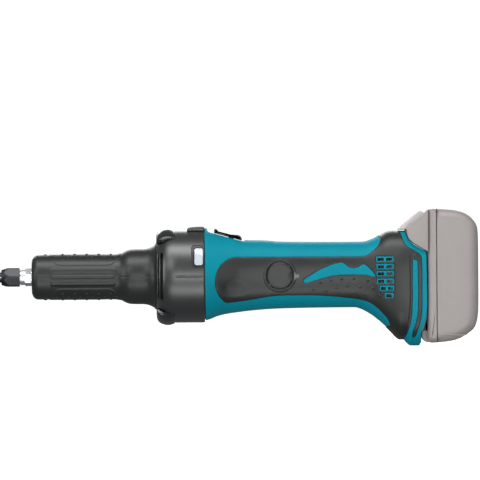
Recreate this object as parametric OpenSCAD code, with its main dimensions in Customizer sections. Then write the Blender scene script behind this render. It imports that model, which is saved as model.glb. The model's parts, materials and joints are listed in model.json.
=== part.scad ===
// Cordless die grinder, straight body, with a slide switch and a slide-on battery pack.
// X runs from the collet mouth (0) to the back of the battery, Z is up (slide switch),
// and the spindle axis is the X axis. All sizes are in millimetres.

/* [View] */
// Which sub-part to show

/* [Collet and spindle] */
// Shank diameter the collet holds
shank_d = 6.35; // [3:0.05:8]
// Length of the collet bore
collet_len = 22; // [16:1:28]
// Thread pitch of the collet nut
nut_pitch = 1.25; // [0.75:0.25:2]
// Nut size across its flats
nut_af = 15.1; // [13:0.1:19]
// Spindle flats across
spindle_af = 13.2; // [12:0.1:15]
// Spindle diameter in its bearings
spindle_d = 12; // [10:1:15]

/* [Neck] */
// Outer radius of the rubber neck
neck_r = 19; // [17:0.1:24]
// Outer radius of the aluminium bearing box
box_r = 16.6; // [15.5:0.1:19]

/* [Fan drum] */
// Outer radius of the drum
drum_r = 39.4; // [36:0.1:44]
// Start of the round drum
drum_x0 = 150; // [148:1:156]
// Rear face of the drum
drum_x1 = 174.6; // [170:0.1:180]
// Number of fan blades
fan_blades = 15; // [9:1:21]

/* [Handle] */
// Wall of the handle shells
wall = 3; // [2:0.1:4]
// Depth the soft grip sits into the shell
skin_in = 1.6; // [1:0.1:2]
// Height the soft grip stands above the shell
skin_out = 0.3; // [0:0.1:1]
// Slide switch travel
switch_travel = 6; // [4:0.5:8]

/* [Motor] */
// Motor can radius
yoke_r = 22.5; // [20:0.5:24]
// Armature core radius
core_r = 14.2; // [12:0.1:15]
// Brush position along the axis
brush_x = 238.3; // [236:0.1:240]

/* [Battery] */
// Width of the battery pack
pack_w = 75; // [70:1:80]
// Back face of the battery pack
pack_x1 = 406.5; // [400:0.5:412]
// Cell diameter
cell_d = 18.4; // [18:0.1:18.6]
// Cell length
cell_len = 65.2; // [65:0.1:65.5]

/* [Hidden] */
$fn = 64;
eps = 0.01;
shank_r = shank_d / 2;
bear_r = spindle_d / 2;
teal = [0.0, 0.45, 0.55];
rubber = [0.16, 0.16, 0.17];
steel = [0.75, 0.76, 0.78];
dark_steel = [0.2, 0.2, 0.22];
brass = [0.8, 0.65, 0.3];
copper = [0.75, 0.4, 0.2];
pack_grey = [0.62, 0.6, 0.58];
slope_a = 15.7;

// ---------------------------------------------------------------- helpers

// Solid of revolution about the X axis, outline given as [x, radius]
module revolve_x(outline, from = 0, sweep = 360) {
    rotate([0, 90, 0])
        rotate([0, 0, from])
            rotate_extrude(angle = sweep)
                polygon([for (p = outline) [p[1], p[0]]]);
}

// Tube along X
module tube_x(x0, x1, ro, ri) {
    revolve_x([[x0, ri], [x1, ri], [x1, ro], [x0, ro]]);
}

// Rod along X
module rod_x(x0, x1, r) {
    translate([x0, 0, 0])
        rotate([0, 90, 0])
            cylinder(h = x1 - x0, r = r);
}

// Hexagon along X, size across its flats
module hex_x(x0, x1, af, turn = 0) {
    translate([x0, 0, 0])
        rotate([0, 90, 0])
            rotate([0, 0, turn])
                cylinder(h = x1 - x0, r = af / sqrt(3), $fn = 6);
}

// Rod along Y through (x, z)
module rod_y(x, z, y0, y1, r) {
    translate([x, y1, z])
        rotate([90, 0, 0])
            cylinder(h = y1 - y0, r = r);
}

// Box from its limits
module box(x, y, z) {
    translate([x[0], y[0], z[0]])
        cube([x[1] - x[0], y[1] - y[0], z[1] - z[0]]);
}

// Side outline in X and Z, drawn through the Y range
module side_plate(outline, y0, y1) {
    translate([0, y1, 0])
        rotate([90, 0, 0])
            linear_extrude(y1 - y0)
                polygon(outline);
}

// Plan outline in X and Y, drawn through the Z range
module plan_plate(outline, z0, z1) {
    translate([0, 0, z0])
        linear_extrude(z1 - z0)
            polygon(outline);
}

// Points of an arc, centre c, radius r, from angle a to angle b
function arc(c, r, a, b, n = 6) = [
    for (i = [0 : n]) [c[0] + r * cos(a + (b - a) * i / n), c[1] + r * sin(a + (b - a) * i / n)]
];

// Rounded rectangle outline
function round_rect(x0, x1, y0, y1, r) = concat(
    arc([x1 - r, y1 - r], r, 0, 90),
    arc([x0 + r, y1 - r], r, 90, 180),
    arc([x0 + r, y0 + r], r, 180, 270),
    arc([x1 - r, y0 + r], r, 270, 360)
);

// Smooth curve through a table of [x, value]
function span(t, x, i = 0) = (i >= len(t) - 2 || x < t[i + 1][0]) ? i : span(t, x, i + 1);
function rise(t, i) = (t[i + 1][1] - t[i][1]) / (t[i + 1][0] - t[i][0]);
function tangent(t, i) =
    i <= 0 ? rise(t, 0)
    : i >= len(t) - 1 ? rise(t, len(t) - 2)
    : rise(t, i - 1) * rise(t, i) <= 0 ? 0
    : 2 * rise(t, i - 1) * rise(t, i) / (rise(t, i - 1) + rise(t, i));
function hermite(s, h, v0, v1, m0, m1) =
    (2 * s * s * s - 3 * s * s + 1) * v0 + (s * s * s - 2 * s * s + s) * h * m0
    + (3 * s * s - 2 * s * s * s) * v1 + (s * s * s - s * s) * h * m1;
function curve(t, x) =
    let (i = span(t, x), h = t[i + 1][0] - t[i][0])
    hermite(min(1, max(0, (x - t[i][0]) / h)), h, t[i][1], t[i + 1][1], tangent(t, i), tangent(t, i + 1));

// ---------------------------------------------------------------- handle form

// Top line, bottom line, half width and squareness of the handle along X
top_line = [[175, 41.3], [184, 37.5], [200, 33], [212, 30.5], [240, 29.1], [304, 28.6],
            [314, 30], [328, 36.6], [334, 37.7], [364, 37.7]];
bottom_line = [[175, -37.6], [184, -34.4], [200, -31.1], [220, -28.9], [240, -27.8],
               [300, -27.2], [308, -29.1], [320, -36.8], [334, -50], [340, -54.6],
               [345, -57.6], [350, -60], [364, -60]];
half_width = [[175, 39.4], [184, 36.5], [195, 32.5], [205, 30], [220, 28.5], [240, 28],
              [300, 28], [315, 29.5], [330, 33], [345, 35.5], [364, 36.5]];
squareness = [[175, 2], [184, 2.1], [205, 2.4], [240, 2.6], [315, 2.6], [330, 2.8],
              [345, 3.2], [364, 3.5]];
middle_line = [[175, 0], [300, 0], [345, -9], [364, -11]];
stations = [175.2, 180, 186, 193, 201, 212, 235, 300, 307, 313, 320, 327, 335, 343, 352, 363.5];
around = 36;
mesh_fn = 16;

// Distance of the handle surface from its middle line
function reach(x, a) =
    let (
        m = curve(middle_line, x),
        h = sin(a) >= 0 ? curve(top_line, x) - m : m - curve(bottom_line, x),
        n = curve(squareness, x)
    )
    1 / pow(pow(abs(cos(a)) / curve(half_width, x), n) + pow(abs(sin(a)) / h, n), 1 / n);

// Handle form, moved inwards by inset
module handle_form(inset = 0) {
    count = len(stations);
    ring = [for (k = [0 : around - 1]) 360 * (k + 0.5) / around];
    pts = [
        for (x = stations)
            for (a = ring)
                [x, (reach(x, a) - inset) * cos(a), curve(middle_line, x) + (reach(x, a) - inset) * sin(a)]
    ];
    walls = [
        for (i = [0 : count - 2])
            for (k = [0 : around - 1])
                [
                    i * around + k, (i + 1) * around + k,
                    (i + 1) * around + (k + 1) % around, i * around + (k + 1) % around
                ]
    ];
    front = [for (k = [0 : around - 1]) k];
    back = [for (k = [around - 1 : -1 : 0]) (count - 1) * around + k];
    polyhedron(points = pts, faces = concat(walls, [front], [back]), convexity = 8);
}

// Side outline of the handle's rear end
rear_outline = [[171, -66], [356.5, -66], [356.5, -59.6], [357.6, -57.7], [357.7, -49.2],
                [359, -44.9], [361.5, -38.1], [362.7, -27.9], [362.6, 19.6], [357.7, 22.6],
                [350.9, 26.9], [347.5, 30.2], [345.7, 34], [344, 37], [342.5, 50], [171, 50]];

// Side outline of the hollow inside the handle
hollow_outline = [[171, -56.5], [346.8, -56.5], [346.8, 18], [341, 22], [341, 34.7], [171, 50]];

// Side outline of the soft grip: panel, wrap at the rear and rim
grip_outline = [
    [183.2, -6.1], [185, 3.5], [190.5, 11.8], [199, 16], [309, 16], [315.2, 19],
    [322, 25.8], [323.9, 31.4], [321.5, 34], [320, 50], [338.5, 50], [339.8, 37.4],
    [344.1, 27.2], [355.2, 19.2], [358.5, 13.7], [358.7, -19.4], [356.8, -40.7],
    [352, -53], [349.9, -52.5], [354.2, -37], [355.4, -19.4], [355.2, 12], [350.8, 13.7],
    [350.6, -19.5], [347.8, -43.5], [342.9, -54.4], [341, -66], [326, -66],
    [328.4, -43.2], [331.3, -42.1], [324.9, -32], [314, -23], [294.2, -19],
    [268.7, -16.8], [239, -16.8], [209.2, -21], [192.5, -22.6], [186.3, -16.3]
];

// Crescent of hard shell showing inside the panel
crescent_outline = [
    [258.4, -4.5], [270.3, 4.1], [283.8, 9.9], [290.6, 11.1], [295.5, 7.9], [300.9, 6.3],
    [308.1, 9.3], [312, 8.2], [319.2, -0.1], [305.2, 0.6], [288.2, 0.4], [271.2, -3.2]
];

// Vent rows: [x0, x1, z0, z1] of each window in the grip
vent_rows = [[319.7, 334.8, 11.3, 16], [320, 334.9, 5.1, 9.7], [320, 334.9, -0.9, 3.7],
             [320.3, 335, -7.2, -2.7], [322.6, 335, -13.2, -8.6]];
// Single vent cell at the foot of the rows
last_vent = [326.9, 334.6, -19.6, -14.9];

module vent_windows() {
    for (v = concat(vent_rows, [last_vent]))
        box([v[0], v[1]], [-60, 60], [v[2], v[3]]);
}

module vent_cells() {
    for (v = vent_rows) {
        mid = (v[0] + v[1]) / 2 + 0.1;
        box([v[0] + 1.1, mid - 0.9], [-60, 60], [v[2] + 0.6, v[3] - 1.2]);
        box([mid + 0.9, v[1] - 1.2], [-60, 60], [v[2] + 0.6, v[3] - 1.2]);
    }
    box([last_vent[0] + 1.1, last_vent[1] - 1.2], [-60, 60], [last_vent[2] + 0.6, last_vent[3] - 1.2]);
}

// Housing screw centres in X and Z
screw_points = [[181, 31], [186, -27], [276, 19.6], [256, -19], [306, 18.6], [306, -17],
                [334, 24], [330, -36]];

// Solid that the soft grip fills, from depth a to depth b
module grip_zone() {
    difference() {
        side_plate(grip_outline, -60, 60);
        side_plate(crescent_outline, -60, 60);
        vent_windows();
        rod_y(brush_x, 0.2, -60, 60, 13.6);
    }
}

module half_space(side) {
    if (side < 0)
        box([160, 370], [-60, -0.02], [-80, 80]);
    else
        box([160, 370], [0.02, 60], [-80, 80]);
}

// One moulded half of the handle
module housing_half(side) {
    $fn = mesh_fn;
    resize([0, 0, 0])
        difference() {
            intersection() {
                half_space(side);
                union() {
                    difference() {
                        intersection() {
                            handle_form(0);
                            side_plate(rear_outline, -60, 60);
                        }
                        intersection() {
                            handle_form(wall);
                            side_plate(hollow_outline, -60, 60);
                        }
                    }
                    // spigot that fits inside the fan drum
                    tube_x(171, 178, 36.2, 33);
                    // cradles for the motor can
                    intersection() {
                        handle_form(wall - 0.5);
                        union() {
                            tube_x(178.5, 181.5, 40, yoke_r + 0.5);
                            tube_x(214, 217, 40, yoke_r + 0.5);
                        }
                    }
                    // screw posts
                    intersection() {
                        handle_form(wall - 0.5);
                        for (p = screw_points)
                            rod_y(p[0], p[1], -60, 60, 4);
                    }
                    // ring around the brush holder
                    intersection() {
                        handle_form(0.4);
                        rod_y(brush_x, 0.2, side < 0 ? -60 : 22.8, side < 0 ? -22.8 : 60, 14.5);
                    }
                }
            }
            // pocket for the soft grip
            difference() {
                intersection() {
                    handle_form(-1);
                    grip_zone();
                }
                handle_form(skin_in);
            }
            vent_cells();
            // brush holder and cover seats
            rod_y(brush_x, 0.2, -60, 60, 8.8);
            rod_y(brush_x, 0.2, 25.3, 60, 11.85);
            rod_y(brush_x, 0.2, -60, -25.3, 11.85);
            // screw holes, heads sunk in the right half
            for (p = screw_points) {
                rod_y(p[0], p[1], -20, 60, 2.1);
                rod_y(p[0], p[1], 12, 60, 3.8);
            }
            // way of the switch rod through the cradles
            box([177, 272], [-4.7, 4.7], [22.4, 25.4]);
            // flat bed and slot under the slide switch
            side_plate([[175, 60], [175, 38.4], [214, 27.4], [214, 60]], -12.6, 12.6);
            box([188.4, 202], [-4.6, 4.6], [20, 50]);
            // slide channel of the battery, open at the top
            box([350.6, 355.02], [-25.6, 25.6], [-48, 60]);
            box([355, 370], [-22.4, 22.4], [-48, 60]);
            // opening for the terminal block
            box([340, 351], [-20.2, 20.2], [-46.2, -4.8]);
            // notch for the battery catch, open upwards
            box([342.4, 352], [-7.4, 7.4], [30.3, 60]);
        }
}

// One soft grip moulding
module grip_skin(side) {
    $fn = mesh_fn;
    resize([0, 0, 0])
        difference() {
            intersection() {
                half_space(side);
                handle_form(-skin_out);
                side_plate(rear_outline, -60, 60);
                grip_zone();
            }
            handle_form(skin_in - 0.02);
            for (p = screw_points)
                rod_y(p[0], p[1], 12, 60, 3.8);
            box([355, 370], [-22.4, 22.4], [-48, 60]);
            box([342.4, 352], [-7.4, 7.4], [30.3, 60]);
        }
}

// ---------------------------------------------------------------- bearings

module outer_ring(x0, x1, ro, ri, groove, cx) {
    difference() {
        tube_x(x0, x1, ro, ri);
        rotate([0, 90, 0])
            translate([0, 0, cx])
                rotate_extrude()
                    translate([groove[0], 0])
                        circle(r = groove[1]);
    }
}

module ball_set(cx, pitch_r, ball_r, count) {
    for (k = [0 : count - 1])
        rotate([360 * k / count, 0, 0])
            translate([cx, 0, pitch_r])
                sphere(r = ball_r);
    // cage ribbon joining the balls
    tube_x(cx - 0.9, cx + 0.9, pitch_r + 0.6, pitch_r - 0.6);
}

spindle_bearings = [31, 104];
motor_bearings = [134, 250];

module spindle_bearing_outers() {
    color(steel)
        for (x = spindle_bearings)
            outer_ring(x, x + 8, 14, 11.9, [10, 2.42], x + 4);
}

module spindle_bearing_inners() {
    color(steel)
        for (x = spindle_bearings)
            outer_ring(x, x + 8, 8.1, bear_r + 0.01, [10, 2.42], x + 4);
}

module spindle_bearing_balls() {
    color(steel)
        for (x = spindle_bearings)
            ball_set(x + 4, 10, 2.38, 8);
}

module motor_bearing_outers() {
    color(steel)
        for (x = motor_bearings)
            outer_ring(x, x + 7, 11, 9.2, [7.5, 2.02], x + 3.5);
}

module motor_bearing_inners() {
    color(steel)
        for (x = motor_bearings)
            outer_ring(x, x + 7, 5.9, 4.01, [7.5, 2.02], x + 3.5);
}

module motor_bearing_balls() {
    color(steel)
        for (x = motor_bearings)
            ball_set(x + 3.5, 7.5, 1.98, 7);
}

// ---------------------------------------------------------------- collet and spindle

module collet() {
    color(steel)
        difference() {
            revolve_x([
                [0, shank_r], [0, 4.2], [0.2, 4.4], [3.05, 4.55], [3.4, 5.3], [5.6, 5.3],
                [6.2, 4.5], [6.9, 4.7], [collet_len, 4.1], [collet_len, shank_r]
            ]);
            box([-1, 15.5], [-0.4, 0.4], [-7, 7]);
            box([-1, 15.5], [-7, 7], [-0.4, 0.4]);
        }
}

module collet_nut() {
    color(dark_steel)
        difference() {
            intersection() {
                hex_x(1.7, 17.3, nut_af, -7);
                revolve_x([[1.7, 0], [1.7, 6.4], [7.6, 8.75], [16.7, 8.75], [17.3, 8.2], [17.3, 0]]);
            }
            revolve_x([
                [1, 0], [1, 4.75], [3, 4.75], [3.1, 5.5], [6.4, 5.5], [6.5, 6.1],
                [18, 6.1], [18, 0]
            ]);
        }
}

module spindle() {
    color(steel)
        difference() {
            union() {
                revolve_x([
                    [7, 0], [7, 5.4], [7.6, 6], [17.4, 6], [17.6, 5.5], [17.9, 6.6],
                    [19.4, 6.6], [19.6, 6.3], [19.9, 6.6], [22.1, 6.6], [22.1, 0]
                ]);
                hex_x(22, 27.2, spindle_af, 8);
                revolve_x([
                    [27.1, 0], [27.1, 7], [31, 7], [31, bear_r], [39, bear_r], [39.4, 5.8],
                    [103.6, 5.8], [104, bear_r], [112, bear_r], [112.4, 5], [124.4, 5],
                    [125, 4.4], [125, 0]
                ]);
            }
            revolve_x([
                [6, 0], [6, 4.84], [7, 4.8], [22.1, 4.2], [22.1, 3.6], [60, 3.6], [61.5, 0]
            ]);
        }
}

module coupling() {
    color(dark_steel)
        revolve_x([
            [116.5, 5.01], [125.2, 5.01], [125.2, 4.01], [132.6, 4.01], [132.6, 9.6],
            [131.6, 10], [125.5, 10], [125, 9.4], [124, 9.4], [123.5, 10], [117.5, 10],
            [116.5, 9]
        ]);
}

// ---------------------------------------------------------------- neck

module bearing_box() {
    color([0.7, 0.71, 0.72])
        difference() {
            revolve_x([
                [28.7, 14.02], [39, 14.02], [39, 12], [104, 12], [104, 14.02], [112.2, 14.02],
                [112.4, 11], [132.8, 11], [132.8, 22], [129, 22], [129, 13.4], [114, 13.4],
                [112.6, box_r], [30, box_r], [28.7, 15.8]
            ]);
            for (a = [45 : 90 : 315])
                rotate([a, 0, 0])
                    translate([0, 0, 17.5])
                        rod_x(128, 134, 2.1);
        }
}

module front_retainer() {
    color(steel)
        difference() {
            tube_x(28.8, 30.9, 14, 8.3);
            for (a = [0 : 90 : 270])
                rotate([a, 0, 0])
                    translate([0, 0, 11])
                        rod_x(28, 30, 1.1);
        }
}

module dust_seal() {
    color([0.35, 0.33, 0.3])
        tube_x(28.8, 30.6, 8.25, 7.2);
}

// Rows of grip pips: [angle from the top, first x, count]
pip_rows = [[10, 53.9, 5], [27, 48.8, 6], [42.8, 53.9, 5]];

module neck_sleeve() {
    color(rubber) {
        revolve_x(concat(
            [[27.5, 7.9], [28.45, 7.9], [28.45, box_r + 0.05], [112.4, box_r + 0.05],
             [114.5, 21], [128.9, 21], [128.9, 22.2], [132.9, 22.2], [132.9, 28.2],
             [131.6, 26.6], [129.9, 25.5], [126.5, 24.1], [123.1, 23.5], [112.9, 23.3],
             [109.5, 22.8], [106.1, 21.4], [103.6, 20], [101, neck_r]],
            [[32.4, neck_r]],
            arc([32.4, neck_r - 4.9], 4.9, 100, 180, 5),
            [[27.5, 12.5]]
        ));
        // dotted panels over the top and under the bottom
        for (s = [0, 180]) {
            revolve_x([[43, neck_r - 0.5], [102.6, neck_r - 0.5], [102.6, neck_r + 0.6],
                       [101, neck_r + 0.35], [43.3, neck_r + 0.35], [43, neck_r + 0.1]], s - 59, 118);
            for (row = pip_rows)
                for (a = [row[0], -row[0]])
                    for (k = [0 : row[2] - 1])
                        rotate([s + a, 0, 0])
                            translate([row[1] + 10.2 * k, 0, neck_r])
                                cylinder(h = 0.6, r = 0.75);
        }
        // three ribs on each side
        for (s = [90, 270])
            for (a = [-17.5, 0, 17.5])
                rotate([s + a, 0, 0]) {
                    box([46, 96.8], [-1.4, 1.4], [neck_r - 1, neck_r + 0.6]);
                    for (x = [46, 96.8])
                        translate([x, 0, neck_r - 1])
                            cylinder(h = 1.6, r = 1.4);
                }
    }
}

module front_screws() {
    color(dark_steel)
        for (a = [45 : 90 : 315])
            rotate([a, 0, 0])
                translate([0, 0, 17.5])
                    difference() {
                        revolve_x([[126.3, 0], [126.3, 2.6], [127, 3.2], [129, 3.2],
                                   [129, 2], [140.4, 2], [141, 1.4], [141, 0]]);
                        hex_x(126, 127.6, 2.5);
                    }
}

// ---------------------------------------------------------------- fan drum

// Outline of the drum wall, moved inwards by t
function drum_line(t) = [
    [133.2 + t, 28.4], [135.2 + 0.9 * t, 32 - 0.5 * t], [138.2 + 0.7 * t, 35.2 - 0.8 * t],
    [142.3 + 0.4 * t, 37.6 - 0.95 * t], [146 + 0.2 * t, 38.8 - t], [drum_x0, drum_r - t]
];

module fan_housing() {
    color(rubber)
        difference() {
            union() {
                difference() {
                    revolve_x(concat(
                        [[133.2, 8]], drum_line(0),
                        [[drum_x1 - 0.8, drum_r], [drum_x1, drum_r - 0.8], [drum_x1, drum_r - 2.8]],
                        [for (k = [5 : -1 : 0]) drum_line(2.8)[k]],
                        [[137.2, 27], [137.2, 13.5], [142, 13], [142, 8]]
                    ));
                    // seat of the front motor bearing
                    tube_x(134, 143, 11.02, 7);
                    rod_x(132, 143, 8.6);
                    // exhaust openings, four around the shoulder
                    for (a = [0 : 90 : 270])
                        revolve_x([[134.7, 26], [139.5, 26], [139.5, 45], [134.7, 45]], a - 35, 70);
                }
                // screw posts behind the front wall
                for (a = [45 : 90 : 315])
                    rotate([a, 0, 0])
                        translate([0, 0, 17.5])
                            rod_x(137, 141.4, 4);
                // raised block in front of the slide switch
                side_plate([[159.6, 36.8], [159.6, 40], [162, 41.6], [168, 42.2], [173.6, 42.2],
                            [drum_x1, 41.4], [drum_x1, 36.8]], -11, 11);
            }
            for (a = [45 : 90 : 315])
                rotate([a, 0, 0])
                    translate([0, 0, 17.5])
                        rod_x(132, 141.1, 2.05);
            // opening of the side window
            side_plate(round_rect(165.6, 173.9, 9.2, 24.8, 2), -45, -25);
        }
}

// Curved guards standing over the top and bottom exhaust openings
module exhaust_guards() {
    color([0.25, 0.25, 0.26])
        for (a = [0, 180])
            difference() {
                revolve_x([
                    [133.3, 33.4], [134.5, 37.8], [136.6, 39.5], [139.6, 41], [143.4, 41.5],
                    [146.8, 40.9], [148.9, 39.9], [148.9, 39.42], [146, 38.85], [142.3, 37.65],
                    [140.6, 37.6], [140.6, 39.3], [137.6, 37.9], [135.4, 35.2], [134.4, 32.6]
                ], a - 37, 74);
                box([132, 152], [-0.2, 0.2], [-0.1, 0.1]);
            }
}

module window_bezel() {
    color(rubber)
        difference() {
            intersection() {
                side_plate(round_rect(163.4, 174.4, 7.1, 26.7, 3), -45, -25);
                tube_x(160, 176, drum_r + 0.5, drum_r + 0.02);
            }
            side_plate(round_rect(166, 173.2, 9.6, 24.2, 1.8), -45, -25);
        }
}

module window_lens() {
    color([0.85, 0.93, 0.97])
        intersection() {
            side_plate(round_rect(165.8, 173.7, 9.4, 24.6, 1.8), -45, -25);
            tube_x(160, 176, drum_r - 0.3, drum_r - 2);
        }
}

module fan() {
    color([0.3, 0.3, 0.32])
        difference() {
            union() {
                revolve_x([
                    [143.4, 0], [143.4, 7], [151, 8.5], [154, 11], [154.6, 31], [156.6, 31],
                    [157.4, 12], [157.4, 0]
                ]);
                for (k = [0 : fan_blades - 1])
                    rotate([360 * k / fan_blades, 0, 0])
                        translate([0, 0, 12])
                            rotate([0, 0, 0])
                                box([145.5, 155.5], [-0.8, 0.8], [0, 18.6]);
            }
            rod_x(140, 160, 4.01);
        }
}

module baffle_plate() {
    color([0.22, 0.22, 0.24])
        revolve_x([
            [159.4, 20], [161, 18.8], [163.4, 18.2], [163.4, 19.6], [161.2, 21], [161.2, 35],
            [165, 35], [165, 36.4], [159.4, 36.4]
        ]);
}

// ---------------------------------------------------------------- motor

module motor_shaft() {
    color(steel)
        revolve_x([
            [125.4, 0], [125.4, 3.4], [126, 4], [257.6, 4], [258, 3.6], [258, 0]
        ]);
}

module armature_core() {
    color([0.45, 0.45, 0.48])
        difference() {
            rod_x(180, 220, core_r);
            rod_x(179, 221, 4.01);
            for (k = [0 : 11])
                rotate([30 * k, 0, 0])
                    translate([0, 0, core_r - 3])
                        box([179, 221], [-0.8, 0.8], [0, 4]);
        }
}

module windings() {
    color(copper) {
        revolve_x([
            [173.5, 6], [173, 8], [174, 11], [177, 12.8], [179.9, 13], [179.9, 5], [174, 5]
        ]);
        revolve_x([
            [220.1, 5], [220.1, 13], [223, 12.8], [226.5, 11.5], [229.5, 9], [229.5, 6], [228, 5]
        ]);
        for (k = [0 : 11])
            rotate([30 * k, 0, 0])
                translate([0, 0, core_r - 2.9])
                    box([179.8, 220.2], [-0.7, 0.7], [0, 2.2]);
    }
}

module commutator() {
    color(copper)
        difference() {
            revolve_x([[231, 4.01], [231, 12], [232.6, 12], [232.6, 10.5], [245.5, 10.5], [245.5, 4.01]]);
            for (k = [0 : 23])
                rotate([15 * k, 0, 0])
                    translate([0, 0, 9.3])
                        box([230, 246], [-0.2, 0.2], [0, 4]);
        }
}

module motor_yoke() {
    color(dark_steel)
        tube_x(172, 226, yoke_r, 20);
}

module motor_magnets() {
    color([0.3, 0.3, 0.33])
        for (s = [0, 180])
            revolve_x([[178, 15.3], [222, 15.3], [222, 19.98], [178, 19.98]], s + 20, 140);
}

module end_bracket() {
    color([0.25, 0.25, 0.25])
        difference() {
            union() {
                tube_x(226.2, 229.4, yoke_r, 15);
                for (s = [-1, 1])
                    box([228.6, 251], [-8, 8], [s > 0 ? 14 : -18, s > 0 ? 18 : -14]);
                revolve_x([[249.6, 4.6], [249.6, 19.5], [252, 19.5], [252, 14.5], [259, 14.5], [259, 4.6]]);
            }
            rod_x(249, 257.2, 11.02);
            // clear of the brush rings
            for (s = [-1, 1])
                box([225, 230], [s > 0 ? 20.6 : -26, s > 0 ? 26 : -20.6], [-16, 16]);
        }
}

// ---------------------------------------------------------------- brushes, one set per side

module mirrored(side) {
    translate([brush_x, 0, 0.2])
        rotate([side < 0 ? 90 : -90, 0, 0])
            children();
}

module brush_holder(side) {
    color(brass)
        mirrored(side)
            difference() {
                union() {
                    translate([0, 0, 12.4])
                        cylinder(h = 12.6, r = 8.5);
                }
                translate([-4.05, -2.55, 10])
                    cube([8.1, 5.1, 20]);
                translate([0, 0, 22.6])
                    cylinder(h = 4, r = 7.05);
            }
}

module brush(side) {
    color([0.25, 0.24, 0.23])
        mirrored(side)
            difference() {
                translate([-4, -2.5, 10.2])
                    cube([8, 5, 8.8]);
                translate([0, 0, -20])
                    rotate([0, 0, 0])
                        rotate([0, 90, 0])
                            translate([-20, 0, -10])
                                cylinder(h = 20, r = 10.55);
            }
}

module brush_cap(side) {
    color([0.12, 0.12, 0.13])
        mirrored(side)
            difference() {
                translate([0, 0, 22.7])
                    cylinder(h = 2.3, r = 7);
                translate([-6, -0.7, 24])
                    cube([12, 1.4, 3]);
            }
}

module cap_cover(side) {
    color(rubber)
        mirrored(side)
            difference() {
                union() {
                    translate([0, 0, 25.5])
                        cylinder(h = 2.9, r = 11.4);
                    translate([0, 0, 28.4])
                        cylinder(h = 0.35, r1 = 11.4, r2 = 10.9);
                }
                translate([0, 0, 24])
                    cylinder(h = 3, r = 9);
                translate([11, 0, 27])
                    cylinder(h = 4, r = 2.2);
            }
}

module brush_spring(side) {
    color(steel)
        mirrored(side)
            for (k = [0 : 2])
                translate([0, 0, 19.4 + 1.2 * k])
                    rotate_extrude()
                        translate([1.9, 0])
                            circle(r = 0.3);
}

// ---------------------------------------------------------------- switch and electrics

module switch_knob() {
    color([0.1, 0.1, 0.11]) {
        intersection() {
            side_plate([
                [182.5, 36.5], [182.5, 39], [183.3, 40.4], [184.4, 40.3], [185.4, 39.4],
                [187.8, 37], [191, 36.2], [196, 35.4], [200.4, 35.2], [203.4, 35],
                [204.8, 34.2], [206.2, 32.4], [206.4, 31.9], [206.2, 29.9]
            ], -12, 12);
            plan_plate(round_rect(182.4, 206.5, -10.5, 10.5, 4), 20, 50);
        }
        box([194.6, 199.4], [-3, 3], [23.2, 33]);
    }
}

module switch_rod() {
    color([0.3, 0.3, 0.32]) {
        difference() {
            union() {
                    box([192.4, 269.5], [-4.2, 4.2], [23, 24.8]);
                box([192.4, 201.6], [-4.2, 4.2], [24, 27]);
            }
            box([194.2, 199.8], [-3.3, 3.3], [22, 28]);
        }
        box([266.5, 269.5], [-3, 3], [13.6, 24]);
    }
}

module switch_unit() {
    color([0.12, 0.12, 0.14]) {
        difference() {
            box([262.6, 291], [-13, 13], [-14.6, 15.2]);
            box([262, 280], [-3.4, 3.4], [13, 18]);
        }
        for (y = [-8, 0, 8])
            box([290, 293.4], [y - 2.4, y + 2.4], [-10, -9]);
    }
}

module controller() {
    color([0.15, 0.3, 0.2]) {
        difference() {
            box([294.6, 318], [-15, 15], [-12.6, 12.6]);
            for (y = [-11 : 4.4 : 11])
                box([298, 319], [y, y + 1.8], [4, 13]);
        }
    }
}

module terminal_block() {
    color([0.1, 0.1, 0.1])
        difference() {
            union() {
                box([340.4, 350.5], [-20, 20], [-46, -5]);
                box([337, 341], [-17, 17], [-42, -9]);
            }
            for (y = [-14, 14])
                box([336, 351], [y - 0.5, y + 0.5], [-40, -20]);
        }
}

module terminals() {
    color(brass)
        for (y = [-14, 14])
            box([335, 358.5], [y - 0.5, y + 0.5], [-40, -20]);
}

// Insulated lead through a list of points
module lead(points, r) {
    $fn = 12;
    resize([0, 0, 0])
        for (i = [0 : len(points) - 2])
            hull() {
                translate(points[i])
                    sphere(r = r);
                translate(points[i + 1])
                    sphere(r = r);
            }
}

module lead_red() {
    color([0.7, 0.08, 0.08])
        lead([[333.4, 14, -30], [330, 13.4, -26], [326, 11, -12], [322, 9, -4], [319.6, 8, 0]], 1.3);
}

module lead_black() {
    color([0.05, 0.05, 0.05])
        lead([[333.4, -14, -30], [330, -13.4, -26], [326, -11, -12], [322, -9, -4], [319.6, -8, 0]], 1.3);
}

module housing_screws() {
    color(dark_steel)
        for (p = screw_points)
            translate([p[0], 0, p[1]])
                rotate([90, 0, 0])
                    translate([0, 0, -12])
                        difference() {
                            union() {
                                translate([0, 0, -2.4])
                                    cylinder(h = 2.4, r = 3.5);
                                cylinder(h = 28, r = 2);
                            }
                            translate([0, 0, -2.5])
                                cylinder(h = 1.6, r = 1.6, $fn = 6);
                        }
}

// ---------------------------------------------------------------- battery pack

// Side outline of the whole pack
pack_outline = concat(
    [[345.6, 38.1], [344.9, 40.4], [363.5, 55.4], [366.9, 56.3], [378, 55.7], [389.8, 54.5],
     [394.1, 53.1], [400, 49.3], [403.9, 44.6], [405.6, 41.2], [406.1, 36.1],
     [pack_x1, 20], [pack_x1, -23.4], [406.1, -31.9], [404.9, -40.4], [403.6, -44.2],
     [400.7, -47.2], [397.3, -49.8], [393.9, -51.9], [390.5, -54.1], [383.7, -56],
     [376.1, -56.9], [365, -57.6], [361.6, -56.8], [359, -54.3], [358.2, -50],
     [359.6, -45], [362, -38.3], [363.2, -28], [363.1, 19.8], [358, 23.1], [351.2, 27.4],
     [347.9, 30.6], [346.2, 34.2]]
);

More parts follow.
